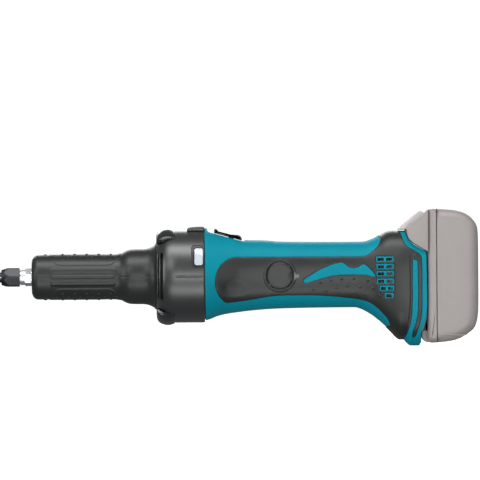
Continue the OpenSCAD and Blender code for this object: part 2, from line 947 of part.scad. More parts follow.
// Pack body with rounded corners, between two X limits and moved inwards by t
module pack_form(x0, x1, t = 0) {
    intersection() {
        side_plate(pack_outline, -pack_w / 2 + t, pack_w / 2 - t);
        plan_plate(round_rect(335, pack_x1 - t, -pack_w / 2 + t, pack_w / 2 - t, 9), -70, 70);
        translate([300, 0, -0.6])
            rotate([90, 0, 90])
                linear_extrude(130)
                    polygon(round_rect(-pack_w / 2 + t, pack_w / 2 - t, -57.2 + t, 57 - t, 9));
        box([x0, x1], [-50, 50], [-70, 70]);
    }
}

module battery_front_case() {
    color(pack_grey) {
        difference() {
            union() {
                pack_form(344, 371.1);
                // slide rails
                box([354.6, 364], [-22, 22], [-47.4, 19]);
                box([351, 354.7], [-25.2, 25.2], [-47.4, 19]);
            }
            // hollow for the cells and the board
            plan_plate(round_rect(365, 380, -34.9, 34.9, 2), -48.5, 48.5);
            // lower lip narrow enough to pass up the slide channel
            for (y = [-50, 22])
                box([340, 363.1], [y, y + 28], [-70, 19]);
            // slots for the terminals, open at the lower end
            for (y = [-14, 14])
                box([350, 361], [y - 1.4, y + 1.4], [-60, -17]);
            // slits that pass the contact blades to the board
            for (y = [-14, 14])
                for (s = [-1, 1])
                    box([360, 366], [y + s * 1.1 - 0.25, y + s * 1.1 + 0.25], [-38.3, -21.7]);
            // room behind the catch button and slot for its tongue
            side_plate([
                [341, 37.7], [348.6, 37.7], [351, 39.3], [365.2, 50.9], [366.3, 53.9], [363, 57]
            ], -16.4, 16.4);
            box([343, 354.4], [-7.6, 7.6], [29.8, 44]);
        }
    }
}

module battery_rear_case() {
    color(pack_grey)
        difference() {
            pack_form(371.2, pack_x1 + 1);
            plan_plate(round_rect(365, pack_x1 - 2.3, -34.9, 34.9, 3), -48.2, 48.2);
        }
}

module battery_cells() {
    color([0.15, 0.35, 0.3])
        for (x = [376.3, 394.8])
            for (k = [-2 : 2])
                rod_y(x, 0.4 + 18.8 * k, -cell_len / 2, cell_len / 2, cell_d / 2);
}

module battery_board() {
    color([0.1, 0.35, 0.15])
        box([365.3, 366.8], [-30, 30], [-40, 40]);
}

module battery_contacts() {
    color(brass)
        for (y = [-14, 14])
            for (s = [-1, 1]) {
                box([355.4, 365.3], [y + s * 1.1 - 0.15, y + s * 1.1 + 0.15], [-38, -22]);
            }
}

module battery_latch() {
    color([0.85, 0.85, 0.84]) {
        side_plate([
            [338.6, 39.9], [338.9, 38.5], [341.9, 38.2], [345, 38.2], [347.2, 39.8],
            [361.4, 51.3], [358.4, 54.5], [355.8, 54.1]
        ], -16, 16);
        box([344.4, 348.6], [-7, 7], [30.6, 41.5]);
        box([343, 345], [-7, 7], [30.6, 33.2]);
    }
}

// ---------------------------------------------------------------- selection

collet();
collet_nut();
spindle();
spindle_bearing_outers();
spindle_bearing_inners();
spindle_bearing_balls();
bearing_box();
front_retainer();
dust_seal();
neck_sleeve();
front_screws();
coupling();
fan_housing();
exhaust_guards();
window_bezel();
window_lens();
fan();
baffle_plate();
motor_shaft();
motor_bearing_outers();
motor_bearing_inners();
motor_bearing_balls();
armature_core();
windings();
commutator();
motor_yoke();
motor_magnets();
end_bracket();
brush_holder(-1);  // brush_holder_left
brush_holder(1);  // brush_holder_right
brush(-1);  // brush_left
brush(1);  // brush_right
brush_spring(-1);  // brush_spring_left
brush_spring(1);  // brush_spring_right
brush_cap(-1);  // brush_cap_left
brush_cap(1);  // brush_cap_right
cap_cover(-1);  // cap_cover_left
cap_cover(1);  // cap_cover_right
color(teal) housing_half(-1);  // housing_left
color(teal) housing_half(1);  // housing_right
color(rubber) grip_skin(-1);  // grip_skin_left
color(rubber) grip_skin(1);  // grip_skin_right
housing_screws();
switch_knob();
switch_rod();
switch_unit();
controller();
terminal_block();
terminals();
lead_red();
lead_black();
battery_front_case();
battery_rear_case();
battery_cells();
battery_board();
battery_contacts();
battery_latch();
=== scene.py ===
"""Looks of the cordless die grinder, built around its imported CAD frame.

Lengths are in millimetres in the tables and shapes, and in metres for the room, lights and camera.
"""
import json
import math

import bmesh
import bpy
import numpy as np
from mathutils import Matrix, Vector
from mathutils.geometry import delaunay_2d_cdt


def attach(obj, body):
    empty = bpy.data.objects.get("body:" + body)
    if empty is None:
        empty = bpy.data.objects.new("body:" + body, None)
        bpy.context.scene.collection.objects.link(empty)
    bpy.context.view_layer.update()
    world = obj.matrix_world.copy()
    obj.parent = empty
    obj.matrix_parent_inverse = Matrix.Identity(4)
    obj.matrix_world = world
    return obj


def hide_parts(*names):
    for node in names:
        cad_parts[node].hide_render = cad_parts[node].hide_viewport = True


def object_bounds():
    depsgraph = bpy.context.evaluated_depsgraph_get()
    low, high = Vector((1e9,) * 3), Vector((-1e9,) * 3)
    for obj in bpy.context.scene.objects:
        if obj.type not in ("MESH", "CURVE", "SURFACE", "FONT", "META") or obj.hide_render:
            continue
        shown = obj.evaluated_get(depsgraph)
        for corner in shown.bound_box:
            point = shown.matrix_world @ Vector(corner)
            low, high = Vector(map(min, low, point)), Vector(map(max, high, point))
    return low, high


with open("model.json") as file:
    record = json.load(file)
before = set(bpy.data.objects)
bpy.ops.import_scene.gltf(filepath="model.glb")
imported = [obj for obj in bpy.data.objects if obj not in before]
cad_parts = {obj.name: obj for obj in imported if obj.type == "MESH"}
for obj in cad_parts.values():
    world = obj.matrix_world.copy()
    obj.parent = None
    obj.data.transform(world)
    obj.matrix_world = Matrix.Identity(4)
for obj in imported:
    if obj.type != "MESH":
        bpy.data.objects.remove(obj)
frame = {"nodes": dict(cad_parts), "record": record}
CAD_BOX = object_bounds()
MM = 0.001
PI = math.pi

# ------------------------------------------------------------------ curves and outlines


def smooth_curve(table):
    """A smooth curve with no overshoot through a table of (x, value)."""
    t = np.array(table, float)
    d = np.diff(t[:, 1]) / np.diff(t[:, 0])
    m = np.zeros(len(t))
    m[0], m[-1] = d[0], d[-1]
    for i in range(1, len(t) - 1):
        if d[i - 1] * d[i] > 0:
            m[i] = 2 * d[i - 1] * d[i] / (d[i - 1] + d[i])

    def at(x):
        x = np.clip(np.asarray(x, float), t[0, 0], t[-1, 0])
        i = np.clip(np.searchsorted(t[:, 0], x, side="right") - 1, 0, len(t) - 2)
        h = t[i + 1, 0] - t[i, 0]
        s = (x - t[i, 0]) / h
        return ((2 * s**3 - 3 * s**2 + 1) * t[i, 1] + (s**3 - 2 * s**2 + s) * h * m[i]
                + (3 * s**2 - 2 * s**3) * t[i + 1, 1] + (s**3 - s**2) * h * m[i + 1])
    return at


def spline(points, step=0.8):
    """Points along a smooth line through the given ones, ends included."""
    p = [np.array(q, float) for q in points]
    if len(p) == 2:
        n = max(1, int(np.linalg.norm(p[1] - p[0]) / step))
        return [p[0] + (p[1] - p[0]) * i / n for i in range(n + 1)]
    ext = [2 * p[0] - p[1]] + p + [2 * p[-1] - p[-2]]
    out = []
    for a, b, c, d in zip(ext, ext[1:], ext[2:], ext[3:]):
        ta, tb, tc = (max(1e-6, np.linalg.norm(q - r) ** 0.5) for q, r in ((b, a), (c, b), (d, c)))
        m1 = (b - a) / ta - (c - a) / (ta + tb) + (c - b) / tb
        m2 = (c - b) / tb - (d - b) / (tb + tc) + (d - c) / tc
        n = max(1, int(np.linalg.norm(c - b) / step + 0.5))
        for i in range(n):
            s = i / n
            out.append((2 * s**3 - 3 * s**2 + 1) * b + (s**3 - 2 * s**2 + s) * m1 * tb
                       + (3 * s**2 - 2 * s**3) * c + (s**3 - s**2) * m2 * tb)
    out.append(p[-1])
    return out


def outline(*runs, step=0.8):
    """A closed outline from runs of points; each run is smooth, and corners stay between runs."""
    out = []
    for run in runs:
        for q in spline(run, step):
            if not out or np.linalg.norm(q - out[-1]) > 1e-4:
                out.append(q)
    if np.linalg.norm(out[0] - out[-1]) < 1e-4:
        out.pop()
    return np.array(out)


def closed_spline(points, step=0.8):
    p = list(points)
    q = spline(p[-3:] + p + p[:3], step)
    a, b = np.array(p[0], float), np.array(p[0], float)
    i = min(range(len(q) // 2), key=lambda k: np.linalg.norm(q[k] - a))
    j = min(range(len(q) // 2, len(q)), key=lambda k: np.linalg.norm(q[k] - b))
    return np.array(q[i:j])


def rounded(x0, x1, y0, y1, r, step=0.5):
    n = max(3, int(r * PI / 2 / step))
    pts = []
    for cx, cy, a in ((x1 - r, y1 - r, 0), (x0 + r, y1 - r, 90), (x0 + r, y0 + r, 180),
                      (x1 - r, y0 + r, 270)):
        pts += [(cx + r * math.cos(math.radians(a + 90 * i / n)),
                 cy + r * math.sin(math.radians(a + 90 * i / n)))
                for i in range(n + 1)]
    return densify(np.array(pts), step * 1.6)


def circle(cx, cy, r, n=48):
    return np.array([(cx + r * math.cos(2 * PI * i / n),
                      cy + r * math.sin(2 * PI * i / n)) for i in range(n)])


def densify(loop, step):
    out = []
    for a, b in zip(loop, np.roll(loop, -1, axis=0)):
        n = max(1, int(math.ceil(np.linalg.norm(b - a) / step)))
        out += [a + (b - a) * i / n for i in range(n)]
    return np.array(out)


def inside(p, loops):
    """Even-odd test of points against loops."""
    x, y = p[:, 0], p[:, 1]
    hit = np.zeros(len(p), bool)
    for loop in loops:
        for (x1, y1), (x2, y2) in zip(loop, np.roll(loop, -1, axis=0)):
            if y1 == y2:
                continue
            cross = ((y1 > y) != (y2 > y)) & (x < (x2 - x1) * (y - y1) / (y2 - y1) + x1)
            hit ^= cross
    return hit


def distance(p, loops):
    """Distance of points to the nearest loop edge."""
    a = np.concatenate(loops)
    b = np.concatenate([np.roll(q, -1, axis=0) for q in loops])
    best = np.full(len(p), 1e9)
    ab = b - a
    ll = np.maximum((ab**2).sum(1), 1e-12)
    for i in range(0, len(p), 1500):
        q = p[i:i + 1500, None, :] - a[None]
        t = np.clip((q * ab[None]).sum(2) / ll[None], 0, 1)
        best[i:i + 1500] = np.sqrt((((q - t[..., None] * ab[None]) ** 2).sum(2)).min(1))
    return best


def signed(p, loops):
    """Distance to the loops, positive inside."""
    d = distance(p, loops)
    return np.where(inside(p, loops), d, -d)


def offsets(loop, d):
    """Points moved off a loop by d to its left."""
    t = np.roll(loop, -1, axis=0) - np.roll(loop, 1, axis=0)
    t /= np.maximum(np.linalg.norm(t, axis=1)[:, None], 1e-9)
    return loop + d * np.stack([-t[:, 1], t[:, 0]], 1)


def step(x, a, b):
    t = np.clip((x - a) / (b - a), 0, 1)
    return t * t * (3 - 2 * t)


def edge_round(d, r):
    """How far a surface drops at distance d from its edge, for an edge radius r."""
    t = np.clip(1 - d / r, 0, 1)
    return -r * (1 - np.sqrt(np.maximum(0, 1 - t * t)))


# ------------------------------------------------------------------ meshes


def make(name, verts, faces, mat, body, replaces=(), sharp=32):
    """A mesh object in metres from millimetre vertices, that rides on a body."""
    me = bpy.data.meshes.new(name)
    me.from_pydata([tuple(float(c) * MM for c in v) for v in verts], [],
                   [tuple(int(i) for i in f) for f in faces])
    me.validate()
    bm = bmesh.new()
    bm.from_mesh(me)
    bmesh.ops.remove_doubles(bm, verts=bm.verts, dist=2e-7)
    bmesh.ops.recalc_face_normals(bm, faces=bm.faces)
    bm.to_mesh(me)
    bm.free()
    me.shade_smooth()
    me.set_sharp_from_angle(angle=math.radians(sharp))
    ob = bpy.data.objects.new(name, me)
    bpy.context.scene.collection.objects.link(ob)
    me.materials.append(mat)
    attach(ob, body)
    if replaces:
        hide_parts(*replaces)
    return ob


def merge(*parts):
    """Several (verts, faces) as one."""
    verts, faces, n = [], [], 0
    for v, f in parts:
        verts += [tuple(q) for q in v]
        faces += [tuple(i + n for i in g) for g in f]
        n += len(v)
    return verts, faces


def normals(surf, u, v, e=0.05):
    a = surf(u + e, v) - surf(u - e, v)
    b = surf(u, v + e) - surf(u, v - e)
    n = np.cross(a, b)
    return n / np.maximum(np.linalg.norm(n, axis=1)[:, None], 1e-9)


def patch(surf, loops, height, under, grid=1.6, rings=(0.15, 0.35, 0.7), lines=(), dots=(), flip=1,
          wrap=None, after=None):
    """A closed shell over the part of a surface inside loops. height(p) lifts the top off the surface,
    under is the depth of its underside. lines are loops or runs that the mesh follows.
    dots are extra points.
    """
    edges, pts, fixed = [], [], []

    def add(run, closed):
        i0 = len(pts)
        pts.extend(np.asarray(run))
        n = len(run)
        for k in range(n if closed else n - 1):
            edges.append((i0 + k, i0 + (k + 1) % n))
        fixed.append(np.asarray(run))

    for loop in loops:
        add(loop, True)
    border = np.concatenate(loops)
    for run, closed in lines:
        run = np.asarray(run)
        keep = inside(run, loops) & (distance(run, loops) > 0.05)
        if keep.all():
            add(run, closed)
        else:
            chain = []
            for q, k in zip(run, keep):
                if k:
                    chain.append(q)
                else:
                    if len(chain) > 1:
                        add(chain, False)
                    chain = []
            if len(chain) > 1:
                add(chain, False)
    soft = [np.zeros((0, 2))]
    for r in rings:
        for loop in loops:
            for s in (1, -1):
                q = offsets(loop, s * r)
                q = q[inside(q, loops)]
                if len(q):
                    q = q[distance(q, loops) > r * 0.93]
                if len(q):
                    soft.append(q)
    if len(dots):
        d = np.asarray(dots)
        d = d[inside(d, loops)]
        if len(d):
            soft.append(d[distance(d, loops) > 0.1])
    ring_max = max(rings) if rings else 0.3
    lo, hi = border.min(0), border.max(0)
    xs = np.arange(lo[0], hi[0], grid)
    ys = np.arange(lo[1], hi[1], grid * 0.87)
    gx, gy = np.meshgrid(xs, ys)
    gx = gx + (np.arange(len(ys)) % 2)[:, None] * grid / 2
    g = np.stack([gx.ravel(), gy.ravel()], 1)
    g = g[inside(g, loops)]
    g = g[distance(g, loops) > ring_max + grid * 0.35]
    near = [np.asarray(f) for f in fixed[len(loops):]] + [s for s in soft[1:] if len(s)]
    if near and len(g):
        q = np.concatenate(near)
        keep = np.ones(len(g), bool)
        cell = {}
        size = grid * 0.55
        for i, c in enumerate(np.floor(q / size).astype(int)):
            cell.setdefault(tuple(c), []).append(i)
        for i, p in enumerate(g):
            c = np.floor(p / size).astype(int)
            for dx in (-1, 0, 1):
                for dy in (-1, 0, 1):
                    for j in cell.get((c[0] + dx, c[1] + dy), ()):
                        if abs(q[j][0] - p[0]) < size and abs(q[j][1] - p[1]) < size:
                            keep[i] = False
                            break
        g = g[keep]
    allp = np.concatenate([np.array(pts)] + soft + [g])
    co, _, tris, *_ = delaunay_2d_cdt([Vector(q) for q in allp], edges, [], 0, 1e-5)
    p = np.array([tuple(c) for c in co])
    tris = np.array([t for t in tris if len(t) == 3])
    mid = p[tris].mean(1)
    area = np.cross(p[tris[:, 1]] - p[tris[:, 0]], p[tris[:, 2]] - p[tris[:, 0]])
    tris = tris[inside(mid, loops) & (np.abs(area) > 1e-7)]
    used = np.unique(tris)
    back = -np.ones(len(p), int)
    back[used] = np.arange(len(used))
    p, tris = p[used], back[tris]
    base = surf(p[:, 0], p[:, 1])
    nrm = normals(surf, p[:, 0], p[:, 1]) * flip
    top = base + nrm * height(p)[:, None]
    low = base + nrm * (under(p) if callable(under) else np.full(len(p), under))[:, None]
    if after:
        top = after(top)
    n = len(p)
    count = {}
    for t in tris:
        for a, b in ((t[0], t[1]), (t[1], t[2]), (t[2], t[0])):
            count[(min(a, b), max(a, b))] = count.get((min(a, b), max(a, b)), 0) + 1
    faces = [tuple(t) for t in tris] + [tuple(int(i) + n for i in t[::-1]) for t in tris]
    for t in tris:
        for a, b in ((t[0], t[1]), (t[1], t[2]), (t[2], t[0])):
            if count[(min(a, b), max(a, b))] == 1:
                if wrap and wrap(p[a]) and wrap(p[b]):
                    continue
                faces.append((int(b), int(a), int(a) + n, int(b) + n))
    return np.concatenate([top, low]), faces


def lathe(profile, n=128, a0=0.0, a1=2 * PI, closed=True, cap=True):
    """A closed outline of (x, r) turned about the X axis. Angle 0 is up, and it turns towards -Y."""
    full = abs(a1 - a0 - 2 * PI) < 1e-6
    m = n if full else n + 1
    verts, faces = [], []
    k = len(profile)
    for i in range(m):
        a = a0 + (a1 - a0) * i / n
        verts += [(x, -r * math.sin(a), r * math.cos(a)) for x, r in profile]
    for i in range(n):
        j = (i + 1) % m
        for q in range(k if closed else k - 1):
            w = (q + 1) % k
            if profile[q][1] < 1e-6 and profile[w][1] < 1e-6:
                continue
            f = [i * k + q, i * k + w, j * k + w, j * k + q]
            faces.append(tuple(dict.fromkeys(f)))
    if not full and cap:
        faces.append(tuple(range(k)))
        faces.append(tuple((m - 1) * k + q for q in reversed(range(k))))
    return verts, faces


def soften(profile, r=0.3, n=3, closed=True):
    """Rounds each corner of an outline by up to r."""
    p = [np.array(q, float) for q in profile]
    out = []
    for i, b in enumerate(p):
        if not closed and i in (0, len(p) - 1):
            out.append(tuple(b))
            continue
        a, c = p[i - 1], p[(i + 1) % len(p)]
        u, v = a - b, c - b
        lu, lv = np.linalg.norm(u), np.linalg.norm(v)
        if lu < 1e-6 or lv < 1e-6 or b[1] < 1e-6:
            out.append(tuple(b))
            continue
        cosine = float(np.dot(u, v) / (lu * lv))
        if cosine < -0.985:
            out.append(tuple(b))
            continue
        d = min(r, lu * 0.45, lv * 0.45)
        s, e = b + u / lu * d, b + v / lv * d
        for k in range(n + 1):
            t = k / n
            out.append(tuple((1 - t) ** 2 * s + 2 * t * (1 - t) * b + t * t * e))
    return out


def against_clock(loop):
    """The loop turned to run anticlockwise."""
    area = 0.5 * np.sum(loop[:, 0] * np.roll(loop[:, 1], -1) - np.roll(loop[:, 0], -1) * loop[:, 1])
    return loop[::-1] if area < 0 else loop


def rim_rows(y0, y1, r, n):
    """(y, inset) of the outlines across a body with rims rounded by r."""
    turns = [PI / 2 * k / n for k in range(n, -1, -1)]
    rows = [(y0 + r * (1 - math.sin(a)), r * (1 - math.cos(a))) for a in turns]
    return rows + [(y0 + y1 - y, d) for y, d in reversed(rows)]


def loft(rings, m):
    """Faces between rings of m points, with both ends closed."""
    faces = []
    for i in range(rings - 1):
        for k in range(m):
            w = (k + 1) % m
            faces.append((i * m + k, i * m + w, (i + 1) * m + w, (i + 1) * m + k))
    faces.append(tuple(reversed(range(m))))
    faces.append(tuple((rings - 1) * m + k for k in range(m)))
    return faces


def slab(loop, y0, y1, r=1.0, n=4):
    """A side outline (x, z) drawn through y0..y1 with rounded rims."""
    loop = against_clock(np.asarray(loop))
    rows = rim_rows(y0, y1, r, n)
    verts = []
    for y, d in rows:
        q = offsets(loop, d) if d > 1e-9 else loop
        verts += [(a, y, b) for a, b in q]
    return verts, loft(len(rows), len(loop))


def block(x, y, z, r=0.4, n=2):
    """A box with rounded edges."""
    bm = bmesh.new()
    bmesh.ops.create_cube(bm, size=1)
    for v in bm.verts:
        v.co = Vector(((x[0] + x[1]) / 2 + v.co.x * (x[1] - x[0]),
                       (y[0] + y[1]) / 2 + v.co.y * (y[1] - y[0]),
                       (z[0] + z[1]) / 2 + v.co.z * (z[1] - z[0])))
    if r > 0:
        bmesh.ops.bevel(bm, geom=list(bm.edges), offset=r, segments=n, profile=0.5, affect="EDGES")
    verts = [tuple(v.co) for v in bm.verts]
    faces = [tuple(v.index for v in f.verts) for f in bm.faces]
    bm.free()
    return verts, faces


def turned(part, axis, angle, at=(0, 0, 0)):
    m = Matrix.Translation(Vector(at)) @ Matrix.Rotation(angle, 4, axis) @ Matrix.Translation(-Vector(at))
    return [tuple(m @ Vector(v)) for v in part[0]], part[1]


def moved(part, d):
    return [(v[0] + d[0], v[1] + d[1], v[2] + d[2]) for v in part[0]], part[1]


# ------------------------------------------------------------------ materials


def shader(name, color, rough, metal=0.0, coat=0.0, coat_rough=0.1, ior=1.5, grain=0.0, grain_size=0.5,
           spec=0.5,
           tint=0.06, tint_size=18.0, rough_var=0.08, sheen=0.0, brushed=None, alpha=None):
    """A plastic, rubber or metal: broad colour and gloss variation, and a fine moulded or cut grain."""
    m = bpy.data.materials.new(name)
    m.use_nodes = True
    nt = m.node_tree
    nt.nodes.clear()
    out = nt.nodes.new("ShaderNodeOutputMaterial")
    b = nt.nodes.new("ShaderNodeBsdfPrincipled")
    nt.links.new(b.outputs[0], out.inputs[0])
    b.inputs["Metallic"].default_value = metal
    b.inputs["IOR"].default_value = ior
    b.inputs["Specular IOR Level"].default_value = spec
    b.inputs["Coat Weight"].default_value = coat
    b.inputs["Coat Roughness"].default_value = coat_rough
    b.inputs["Sheen Weight"].default_value = sheen
    pos = nt.nodes.new("ShaderNodeTexCoord")
    broad = nt.nodes.new("ShaderNodeTexNoise")
    broad.inputs["Scale"].default_value = 1000.0 / tint_size
    broad.inputs["Detail"].default_value = 4
    nt.links.new(pos.outputs["Object"], broad.inputs["Vector"])
    ramp = nt.nodes.new("ShaderNodeValToRGB")
    ramp.color_ramp.elements[0].position = 0.3
    ramp.color_ramp.elements[1].position = 0.7
    ramp.color_ramp.elements[0].color = (*[c * (1 - tint) for c in color], 1)
    ramp.color_ramp.elements[1].color = (*[min(1, c * (1 + tint)) for c in color], 1)
    nt.links.new(broad.outputs["Fac"], ramp.inputs["Fac"])
    nt.links.new(ramp.outputs["Color"], b.inputs["Base Color"])
    spread = nt.nodes.new("ShaderNodeMapRange")
    spread.inputs["To Min"].default_value = max(0.02, rough - rough_var)
    spread.inputs["To Max"].default_value = min(1.0, rough + rough_var)
    fine = nt.nodes.new("ShaderNodeTexNoise")
    fine.inputs["Scale"].default_value = 1000.0 / max(grain_size, 0.01)
    fine.inputs["Detail"].default_value = 2
    source = pos.outputs["Object"]
    if brushed:
        stretch = nt.nodes.new("ShaderNodeMapping")
        stretch.inputs["Scale"].default_value = brushed
        nt.links.new(pos.outputs["Object"], stretch.inputs["Vector"])
        source = stretch.outputs["Vector"]
    nt.links.new(source, fine.inputs["Vector"])
    nt.links.new((fine if brushed else broad).outputs["Fac"], spread.inputs["Value"])
    nt.links.new(spread.outputs["Result"], b.inputs["Roughness"])
    if grain > 0:
        bump = nt.nodes.new("ShaderNodeBump")
        bump.inputs["Strength"].default_value = 1.0
        bump.inputs["Distance"].default_value = grain * MM
        nt.links.new(fine.outputs["Fac"], bump.inputs["Height"])
        nt.links.new(bump.outputs["Normal"], b.inputs["Normal"])
    if alpha is not None:
        b.inputs["Alpha"].default_value = alpha
    return m


TEAL = shader("teal_plastic", (0.0, 0.245, 0.325), 0.5, spec=0.12, coat=0.0, grain=0.010, grain_size=0.45,
              tint=0.04)
RUBBER = shader("soft_rubber", (0.015, 0.0165, 0.016), 0.4, grain=0.016, grain_size=0.5, tint=0.15,
                spec=0.55)
PLASTIC = shader("black_nylon", (0.015, 0.016, 0.016), 0.34, grain=0.014, grain_size=0.6, tint=0.1)
GLOSS = shader("glossy_guard", (0.018, 0.019, 0.02), 0.16, coat=0.3, tint=0.1)
STEEL = shader("bright_steel", (0.88, 0.89, 0.91), 0.36, metal=1.0, grain=0.004, grain_size=0.25,
               brushed=(1, 0.04, 0.04), tint=0.05)
OXIDE = shader("black_oxide_steel", (0.05, 0.052, 0.056), 0.34, metal=1.0, grain=0.004, grain_size=0.4,
               tint=0.15)
ALLOY = shader("cast_aluminium", (0.55, 0.56, 0.57), 0.45, metal=1.0, grain=0.03, grain_size=0.8, tint=0.08)
FELT = shader("felt_ring", (0.28, 0.26, 0.23), 0.95, grain=0.1, grain_size=0.3, sheen=0.4, tint=0.2)
LENS = shader("pale_lens", (0.56, 0.61, 0.68), 0.12, coat=0.6, coat_rough=0.05, tint=0.03)
COPPER = shader("enamelled_copper", (0.6, 0.22, 0.08), 0.3, metal=1.0, grain=0.03, grain_size=0.7,
                tint=0.15)
BRASS = shader("brass_strip", (0.75, 0.53, 0.2), 0.28, metal=1.0, grain=0.006, grain_size=0.3, tint=0.08)
CARBON = shader("brush_carbon", (0.05, 0.05, 0.052), 0.7, grain=0.03, grain_size=0.3, tint=0.2)
BOARD = shader("circuit_board", (0.02, 0.16, 0.06), 0.4, coat=0.4, tint=0.15, tint_size=3)
RED = shader("red_insulation", (0.5, 0.02, 0.02), 0.4, grain=0.008, grain_size=0.5)
BLACK_LEAD = shader("black_insulation", (0.012, 0.012, 0.012), 0.4, grain=0.008, grain_size=0.5)
PACK = shader("pack_plastic", (0.33, 0.30, 0.29), 0.42, grain=0.012, grain_size=0.5, tint=0.04)
PACK_LIGHT = shader("pack_pale_plastic", (0.62, 0.60, 0.59), 0.4, grain=0.010, grain_size=0.5, tint=0.03)
CELL = shader("cell_wrap", (0.02, 0.22, 0.18), 0.3, coat=0.3, tint=0.06)
DRUM = shader("satin_black_plastic", (0.014, 0.015, 0.0155), 0.36, spec=0.8, coat=0.7, coat_rough=0.34,
              grain=0.012, grain_size=0.5, tint=0.1)
# Painted shade: the fins' dark colour stands in for the shade inside the housing behind the vents, and
# their strong mottled tint is painted glints.
FINS_PAINTED_SHADE = shader("fins_painted_shade", (0.10, 0.105, 0.11), 0.35, metal=1.0, grain=0.03, grain_size=0.8, tint=0.5,
              tint_size=5)
TAB = shader("grey_tab", (0.13, 0.13, 0.13), 0.3, coat=0.3, tint=0.1)
MAGNET = shader("ferrite", (0.06, 0.06, 0.065), 0.55, grain=0.03, grain_size=0.5, tint=0.15)

BY_SLOT = {
    "teal_shell": TEAL, "black_rubber": RUBBER, "black_plastic": PLASTIC, "guard_plastic": GLOSS,
    "bright_steel": STEEL, "black_steel": OXIDE, "cast_aluminium": ALLOY, "felt": FELT, "clear_lens": LENS,
    "copper": COPPER, "brass": BRASS, "carbon": CARBON, "circuit_board": BOARD, "lead_red": RED,
    "lead_black": BLACK_LEAD, "pack_grey": PACK, "pack_light": PACK_LIGHT, "cell_wrap": CELL,
}
SLOT_OF = {s["node"]: s["material_slot"] for s in frame["record"]["subparts"]}
for node, ob in frame["nodes"].items():
    mat = {"motor_magnets": MAGNET, "collet": OXIDE}.get(node, BY_SLOT[SLOT_OF[node]])
    if ob.material_slots:
        for s in ob.material_slots:
            s.material = mat
    else:
        ob.data.materials.append(mat)

# ------------------------------------------------------------------ handle form

top_line = smooth_curve([(175, 41.3), (179, 39.4), (184, 37.5), (192, 35), (200, 33.2), (205, 31.6),
                         (212, 30.5),
                         (224, 30.3), (240, 29.1), (273, 28.7), (304, 28.6), (310, 28.9), (316, 30.8),
                         (323.6, 34.3),
                         (329, 37.0), (334, 37.7), (364, 37.7)])
bottom_line = smooth_curve([(175, -37.6), (179.6, -36.3), (184, -34.4), (192, -32.3), (200, -31.1),
                            (220, -28.9),
                            (240, -27.8), (273, -27.3), (302, -27.2), (307, -28.6), (315.6, -33.3),
                            (324, -40),
                            (333, -49), (337, -53.1), (340, -54.7), (342.6, -54.6), (345.5, -57.6),
                            (349, -60), (364, -60)])
half_width = smooth_curve([(175, 39.4), (184, 36.5), (195, 32.5), (205, 30), (220, 28.5), (240, 28),
                           (300, 28),
                           (315, 29.5), (330, 33), (345, 35.5), (364, 36.5)])
squareness = smooth_curve([(175, 2), (184, 2.1), (205, 2.4), (240, 2.6), (315, 2.6), (330, 2.8), (345, 3.2),
                           (364, 3.5)])
middle_line = smooth_curve([(175, 0), (300, 0), (345, -9), (364, -11)])
VR = 34.0  # millimetres of the flat pattern for one radian around the handle


def handle(side):
    def surf(u, v):
        a = np.asarray(v) / VR
        s, c = np.sin(a), np.abs(np.cos(a))
        m, n = middle_line(u), squareness(u)
        h = np.where(s >= 0, top_line(u) - m, m - bottom_line(u))
        r = (np.power(c / half_width(u), n) + np.power(np.abs(s) / h, n)) ** (-1.0 / n)
        return np.stack([np.asarray(u, float) + 0 * r, side * r * np.cos(a), m + r * s], -1)
    return surf


def pattern(points):
    """Side-view points (x, z) as points of the handle's flat pattern."""
    p = np.asarray(points, float)
    lo, hi = np.full(len(p), -PI / 2), np.full(len(p), PI / 2)
    surf = handle(-1)
    for _ in range(40):
        mid = (lo + hi) / 2
        z = surf(p[:, 0], mid * VR)[:, 2]
        lo, hi = np.where(z < p[:, 1], mid, lo), np.where(z < p[:, 1], hi, mid)
    return np.stack([p[:, 0], (lo + hi) / 2 * VR], 1)


SEAM = PI / 2 * VR

upper_edge = [(183.2, -6.1), (184, -0.1), (185.7, 5), (188.6, 9.7), (192.9, 13.5), (197.1, 15.4),
              (201.4, 16.2), (206, 16.3)]
upper_tip = [(306, 16.0), (311.9, 16.6), (315.2, 19), (319.5, 22.4), (322, 25.8), (323.5, 29.2),
             (323.7, 31.2), (322.3, 32.9)]
rear_edge = [(340.6, 36.2), (341.1, 34.9), (342.4, 31.5), (344.1, 27.2), (347.1, 23.9), (350.9, 21.6),
             (355.2, 19.2),
             (357.8, 16.7), (358.5, 13.7), (358.7, -19.4), (358.3, -32.2), (356.8, -40.7), (354.3, -48.3),
             (352.7, -52.2),
             (351, -53.3), (349.9, -52.5), (350.1, -51.4)]
strip_right = [(350.1, -51.4), (350.9, -47.5), (353.3, -40.7), (354.9, -32.2), (355.4, -19.4), (355.3, 0),
               (355, 12)]
strip_left = [(350.8, 13.7), (350.7, 0), (350.6, -19.5), (350.2, -29.7), (349.2, -38.2), (347.1, -45.8),
              (345, -51), (343.6, -53.6)]
lower_tip = [(329.3, -43.4), (330.6, -43.1), (331.3, -42), (330.9, -40.4), (328.8, -36.6), (324.9, -32),
             (320.6, -27.7), (315.5, -23.9),
             (310.4, -21.7), (303.6, -20.2), (294.2, -19), (281.5, -17.6), (268.7, -16.8), (251.7, -16.7),
             (239, -16.8),
             (230.5, -17.5), (223.7, -18.6), (209.2, -21), (198.2, -22.4), (193.9, -22.8), (191.4, -22.2),
             (188.8, -19.6),
             (186.3, -16.3), (184.5, -12), (183.2, -6.1)]
